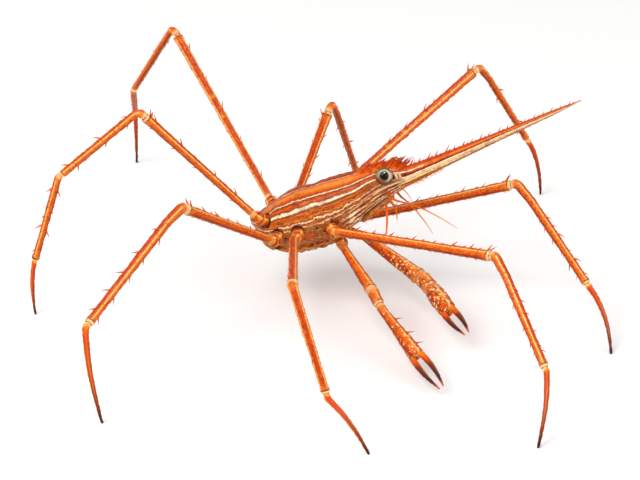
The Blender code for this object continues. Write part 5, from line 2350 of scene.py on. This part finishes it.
@dataclass(frozen=True)
class MouthPlate(Assembly):
    """One outer mouth plate with its palp and a fringe of hairs."""

    side: Side
    palp: tuple[float, float, float]
    stations: tuple[float, ...] = (18.6, 20.4, 22.2, 24.0)
    half_widths: tuple[float, ...] = (0.80, 0.85, 0.75, 0.45)
    out: float = 1.05
    deep: float = 0.48
    drop: float = 0.44
    palp_radii: tuple[float, ...] = (0.24, 0.20, 0.17, 0.13, 0.06)
    columns: int = 30
    hair_count: int = 140

    def build(self, shop: Workshop) -> list[Object]:
        """Build the plate: ellipses along the throat, pinched at two joints, with palp and fringe.

        Args:
            shop: Keeper of the finishes.

        Returns:
            The new object.
        """
        flip = self.side.flip
        station = np.linspace(self.stations[0] - 0.4, self.stations[-1] + 0.5, 70)
        ends = np.sqrt(np.clip(1 - ((station - station.mean()) / (np.ptp(station) / 2)) ** 6, 0.02, 1))
        pinch = 1 - 0.22 * bell(station, 20.9, 0.22) - 0.18 * bell(station, 22.8, 0.2)
        half = np.interp(station, self.stations, self.half_widths) * ends * pinch
        level = smooth_table(FORM.sections, station)[:, 3] - self.drop
        turn = ring_angles(self.columns)[None]
        grid = np.stack([np.repeat(station[:, None], self.columns, 1),
                         self.out + half[:, None] * np.cos(turn),
                         level[:, None] + (self.deep * ends * pinch)[:, None] * np.sin(turn)], axis=-1)
        grid = grid + 0.03 * ripple(grid, 0.8, 41)[..., None] * np.array([0, 0.4, 1.0])
        skin = Skin()
        skin.add_tube(BODY.place(grid * flip), Layer.SKIN, (station - station[0]) / 6.0)
        start = np.array([23.2, self.out, float(np.interp(24.0, station, level)) - 0.2])
        tip = start + np.array(self.palp)
        middle = (start + tip) / 2 + np.array([0.5, 0.15, 0.1])
        Whip(start * flip, middle * flip, tip * flip, self.palp_radii).add(skin, Layer.TRIM)
        draw, count = np.random.default_rng(43), self.hair_count
        at = draw.uniform(18.6, 24.2, count)
        across = self.out + draw.uniform(-0.5, 0.7, count)
        roots = np.stack([at, across, np.interp(at, station, level) - 0.2], -1)
        ways = unit(np.array([0.75, 0.25, -0.75]) + draw.normal(0, 0.25, (count, 3)))
        skin.add_spines(Spines(BODY.place(roots * flip), BODY.aim(ways * flip), np.zeros(3),
                               draw.uniform(0.5, 1.1, count), np.full(count, 0.02), Layer.HAIR, 3, 3))
        return [show(skin, f"maxilliped_{self.side.value}", shop.get(BELLY, FEELER, HAIR))]


@dataclass(frozen=True)
class TailFlap(Assembly):
    """The ridged tail flap folded under the belly."""

    start: float = 1.2
    end: float = 13.6
    half_width: float = 2.05
    thickness: float = 0.95
    rim: float = 0.42
    ridges: int = 6
    ridge: float = 0.26
    hair_count: int = 260

    def under(self, stations: Array, out: Array, lift: Array) -> Array:
        """Give room points below the belly skin at a depth along its normal.

        Args:
            stations: Distance from the tail.
            out: Distance from the middle of the belly.
            lift: Depth below the skin.

        Returns:
            The points.
        """
        half = smooth_table(FORM.sections, stations)[..., 0]
        angle = -np.degrees(np.arccos(np.clip(out / half, -1, 1)))
        point, normal = FORM.skin(stations, angle), FORM.normal(stations, angle)
        return BODY.place(point + normal * lift[..., None])

    def build(self, shop: Workshop) -> list[Object]:
        """Build the flap: one sheet against the belly and one below it, joined at the rim.

        The depth is the rim thickness plus the rest times the root of 1 - w^2 across the flap, with
        six ridges along it as the size of a sine wave.

        Args:
            shop: Keeper of the finishes.

        Returns:
            The new object.
        """
        s, w = np.linspace(0, 1, 150), np.linspace(-1, 1, 34)
        stations = self.start + (self.end - self.start) * s
        limit = smooth_table(FORM.sections, stations)[:, 0] * 0.62
        half = np.minimum(self.half_width * (1 - 0.45 * s ** 2), limit)
        ridge = self.ridge * np.abs(np.sin(np.pi * self.ridges * s)) ** 0.7
        round_off = np.sqrt(np.clip(1 - w ** 2, 0, 1))
        depth = self.rim + (self.thickness - self.rim + ridge[:, None]) * round_off[None]
        depth = depth * np.sqrt(np.clip(1 - (2 * s[:, None] - 1) ** 8, 0.15, 1))
        st, out = np.meshgrid(stations, w, indexing="ij")
        out = out * half[:, None]
        inner = self.under(st, out, np.full(st.shape, FORM.gap - 0.25))
        outer = self.under(st, out, depth + FORM.gap - 0.02)
        outer = outer + 0.08 * ripple(outer, 1.2, 52)[..., None] * BODY.aim(np.array([0, 0, -1.0]))
        skin = Skin()
        skin.add_tube(np.concatenate([inner, outer[:, ::-1]], axis=1), Layer.SKIN, s)
        draw, count = np.random.default_rng(53), self.hair_count
        at = draw.uniform(0, 1, count)
        edge = draw.choice([-1.0, 1.0], count)
        place = self.under(self.start + (self.end - self.start) * at, edge * np.interp(at, s, half) * 0.96,
                           np.full(count, 0.6))
        ways = BODY.aim(unit(np.stack([draw.normal(-0.2, 0.3, count), edge,
                                       draw.uniform(-1.2, -0.4, count)], -1)))
        skin.add_spines(Spines(place, ways, np.zeros(3), draw.uniform(0.3, 0.7, count),
                               np.full(count, 0.02), Layer.HAIR, 3, 3))
        return [show(skin, "abdomen", shop.get(BELLY, THORN, HAIR))]


@dataclass(frozen=True)
class Light:
    """A soft square light that looks at the animal; a glint only shows in what shines."""

    name: str
    place: tuple[float, float, float]
    size: float
    power: float
    colour: tuple[float, float, float]
    glint: bool = False
    aim: tuple[float, float, float] = (0.0, 0.0, 0.015)

    def hang(self) -> None:
        """Add the light to the scene, turned towards what it aims at."""
        data = bpy.data.lights.new(self.name, "AREA")
        data.size = self.size
        data.energy = self.power
        data.color = self.colour
        lamp = bpy.data.objects.new(self.name, data)
        lamp.location = self.place
        lamp.visible_diffuse = not self.glint
        back = unit(np.array(self.place) - np.array(self.aim))
        right = unit(np.cross(np.array([0.0, 1.0, 0.001]), back))
        up = np.cross(back, right)
        lamp.rotation_euler = Matrix(np.stack([right, up, back], 1).tolist()).to_euler()
        bpy.context.scene.collection.objects.link(lamp)


@dataclass(frozen=True)
class Setting:
    """Floor, lights and camera.

    The camera looks from an azimuth and elevation in degrees, at a distance and a scale in pixels
    per millimetre, so that the centre point falls on the centre pixel of the frame.
    """

    azimuth: float = 8.0
    elevation: float = 25.0
    distance: float = 600.0
    scale: float = 5.985
    centre: tuple[float, float, float] = (1.258, 2.433, 15.0)
    centre_pixel: tuple[float, float] = (338.5, 215.0)
    frame_pixels: tuple[float, float] = (640.0, 480.0)
    sensor: float = 36.0
    floor_half: float = 3.0
    floor_tone: float = 0.95
    air_strength: float = 0.64
    lights: tuple[Light, ...] = (
        Light("key_light", (-0.25, -0.35, 0.55), 0.40, 3.0, (1.0, 0.98, 0.95)),
        Light("glint_light", (0.05, -0.18, 0.70), 0.16, 7.5, (1.0, 1.0, 1.0), glint=True),
        Light("fill_light", (0.45, -0.30, 0.30), 0.45, 1.0, (0.96, 0.98, 1.0)))

    def add_camera(self) -> None:
        """Stand the camera at the viewing angle and framing."""
        a, e = math.radians(self.azimuth), math.radians(self.elevation)
        right = np.array([math.cos(a), math.sin(a), 0.0])
        back = np.array([math.sin(a) * math.cos(e), -math.cos(a) * math.cos(e), math.sin(e)])
        up = np.cross(back, right)
        width, height = self.frame_pixels
        aim = (np.array(self.centre) + right * (width / 2 - self.centre_pixel[0]) / self.scale
               + up * (self.centre_pixel[1] - height / 2) / self.scale)
        data = bpy.data.cameras.new("camera")
        data.sensor_width = self.sensor
        data.lens = self.scale * self.distance / width * self.sensor
        data.clip_start = 0.05
        data.clip_end = 20.0
        camera = bpy.data.objects.new("camera", data)
        turn = np.eye(4)
        turn[:3, 0], turn[:3, 1], turn[:3, 2] = right, up, back
        turn[:3, 3] = (aim + back * self.distance) * MM
        bpy.context.scene.collection.objects.link(camera)
        camera.matrix_world = Matrix(turn.tolist())
        bpy.context.scene.camera = camera

    def lay_floor(self) -> None:
        """Lay the pale floor."""
        mesh = bpy.data.meshes.new("floor")
        half = self.floor_half
        mesh.from_pydata([(-half, -half, 0), (half, -half, 0), (half, half, 0), (-half, half, 0)], [],
                         [(0, 1, 2, 3)])
        material = bpy.data.materials.new("floor_paper")
        material.use_nodes = True
        shader = material.node_tree.nodes["Principled BSDF"]
        shader.inputs["Base Color"].default_value = (self.floor_tone, self.floor_tone, self.floor_tone, 1.0)
        shader.inputs["Roughness"].default_value = 0.9
        shader.inputs["Specular IOR Level"].default_value = 0.1
        mesh.materials.append(material)
        floor = bpy.data.objects.new("floor", mesh)
        bpy.context.scene.collection.objects.link(floor)

    def build(self) -> None:
        """Lay the floor, hang the lights and stand the camera."""
        self.lay_floor()
        for light in self.lights:
            light.hang()
        world = bpy.data.worlds.new("studio")
        world.use_nodes = True
        backdrop = world.node_tree.nodes["Background"]
        backdrop.inputs[0].default_value = (1.0, 1.0, 1.0, 1.0)
        backdrop.inputs[1].default_value = self.air_strength
        scene = bpy.context.scene
        scene.world = world
        scene.view_settings.view_transform = "Standard"
        scene.view_settings.look = "None"
        self.add_camera()


LEGS = (
    WalkingLeg(Side.LEFT, 1, Reach(2.0, 60, -35), Reach(28.8, -3.2, 17.9), Reach(4.0, -34, -36),
               Reach(17.3, -34, -43), 13.6, -68, 1.5, 0.95, 1.0),
    WalkingLeg(Side.LEFT, 2, Reach(2.0, 95, 10), Reach(39.1, 45.1, 26.5), Reach(4.0, 49, -50),
               Reach(17.3, 49, -56), 12.6, 58, 1.2, 0.80, 2.2, (0.46, 0.56, 0.684)),
    WalkingLeg(Side.LEFT, 3, Reach(2.0, 115, 10), Reach(20.4, 60.6, 55.2), Reach(4.0, 80, -46),
               Reach(20.5, 81, -53), 13.4, 92, 1.5, 0.82, 1.6),
    WalkingLeg(Side.LEFT, 4, Reach(1.8, 125, 30), Reach(33.9, 139.3, 42.6), Reach(22.1, 130, -49),
               Reach(17.0, 100, -38), 11.2, 100, 0.6, 0.80, 2.5, (0.50, 0.62)),
    WalkingLeg(Side.RIGHT, 1, Reach(2.0, -60, 30), Reach(32.8, -31.8, 9.2), Reach(4.0, -54, -31),
               Reach(17.3, -56, -38), 12.8, -92, 1.6, 0.97, 1.0),
    WalkingLeg(Side.RIGHT, 2, Reach(2.0, -100, 20), Reach(35.2, -81.9, 13.1), Reach(4.0, -56, -48),
               Reach(14.3, -44, -61), 10.8, -28, 1.0, 0.96, 1.3),
    WalkingLeg(Side.RIGHT, 3, Reach(1.8, -125, 35), Reach(23.1, -126.2, 31.6), Reach(4.0, -117, -16),
               Reach(24.0, -116, -24), 15.7, -45, 1.6, 1.05, 1.1),
    WalkingLeg(Side.RIGHT, 4, Reach(1.7, -165, 45), Reach(27.7, -155.6, 47.5), Reach(18.2, -176, -42),
               Reach(16.4, 180, -74), 9.5, 174, 0.7, 0.92, 1.5),
)
CLAWS = (
    ClawArm(Side.LEFT, Reach(2.1, 15, -10), Reach(14.7, -35.6, -15.0), Reach(3.2, -52, -14),
            Reach(5.9, -60, -8), Reach(6.9, -57, -11), (0.62, 0.85, 1.12, 1.30), (1.26, 1.32, 1.22),
            (1.16, 1.50, 1.56, 1.50, 1.38), ARM_LEFT, (0.0, 0.45, 0.80), (0.80, 0.75)),
    ClawArm(Side.RIGHT, Reach(2.1, -75, 0), Reach(12.4, -57.8, -14.9), Reach(3.4, -60, -22),
            Reach(11.4, -50, -21), Reach(8.6, -56, -13), (0.60, 0.70, 0.85, 0.98), (0.96, 0.94, 0.78),
            (0.68, 0.76, 0.92, 1.16, 1.22), ARM_RIGHT, (0.0, 0.06), (0.04, 0.42), (0.34, 0.61, 0.82)),
)
WHISKER = Whip(np.array([26.2, -1.2, -3.6]), np.array([27.2, -1.7, -4.3]), np.array([27.6, -1.4, -6.4]),
               (0.10, 0.09, 0.08, 0.05))
HEAD_AND_BODY = (
    Shell(), Beak(), TailFlap(), Eye(Side.RIGHT), Eye(Side.LEFT, up=-0.6, axis=(0.30, 1.0, -0.35)),
    Feeler(Side.RIGHT, (8.7, 3.8, -6.9), WHISKER), Feeler(Side.LEFT, (2.4, 1.0, -7.5)),
    MouthPlate(Side.RIGHT, (-2.2, 4.2, -6.8)), MouthPlate(Side.LEFT, (0.0, 0.3, -3.9)),
)


def main() -> None:
    """Build every piece in order, report it and set the scene."""
    logging.basicConfig(level=logging.INFO, format="%(name)s: %(message)s")
    shop = Workshop()
    for part in HEAD_AND_BODY + LEGS + CLAWS:
        for piece in part.build(shop):
            LOG.info("%s: %d faces", piece.name, len(piece.data.polygons))
    Setting().build()


if __name__ == "__main__":
    main()
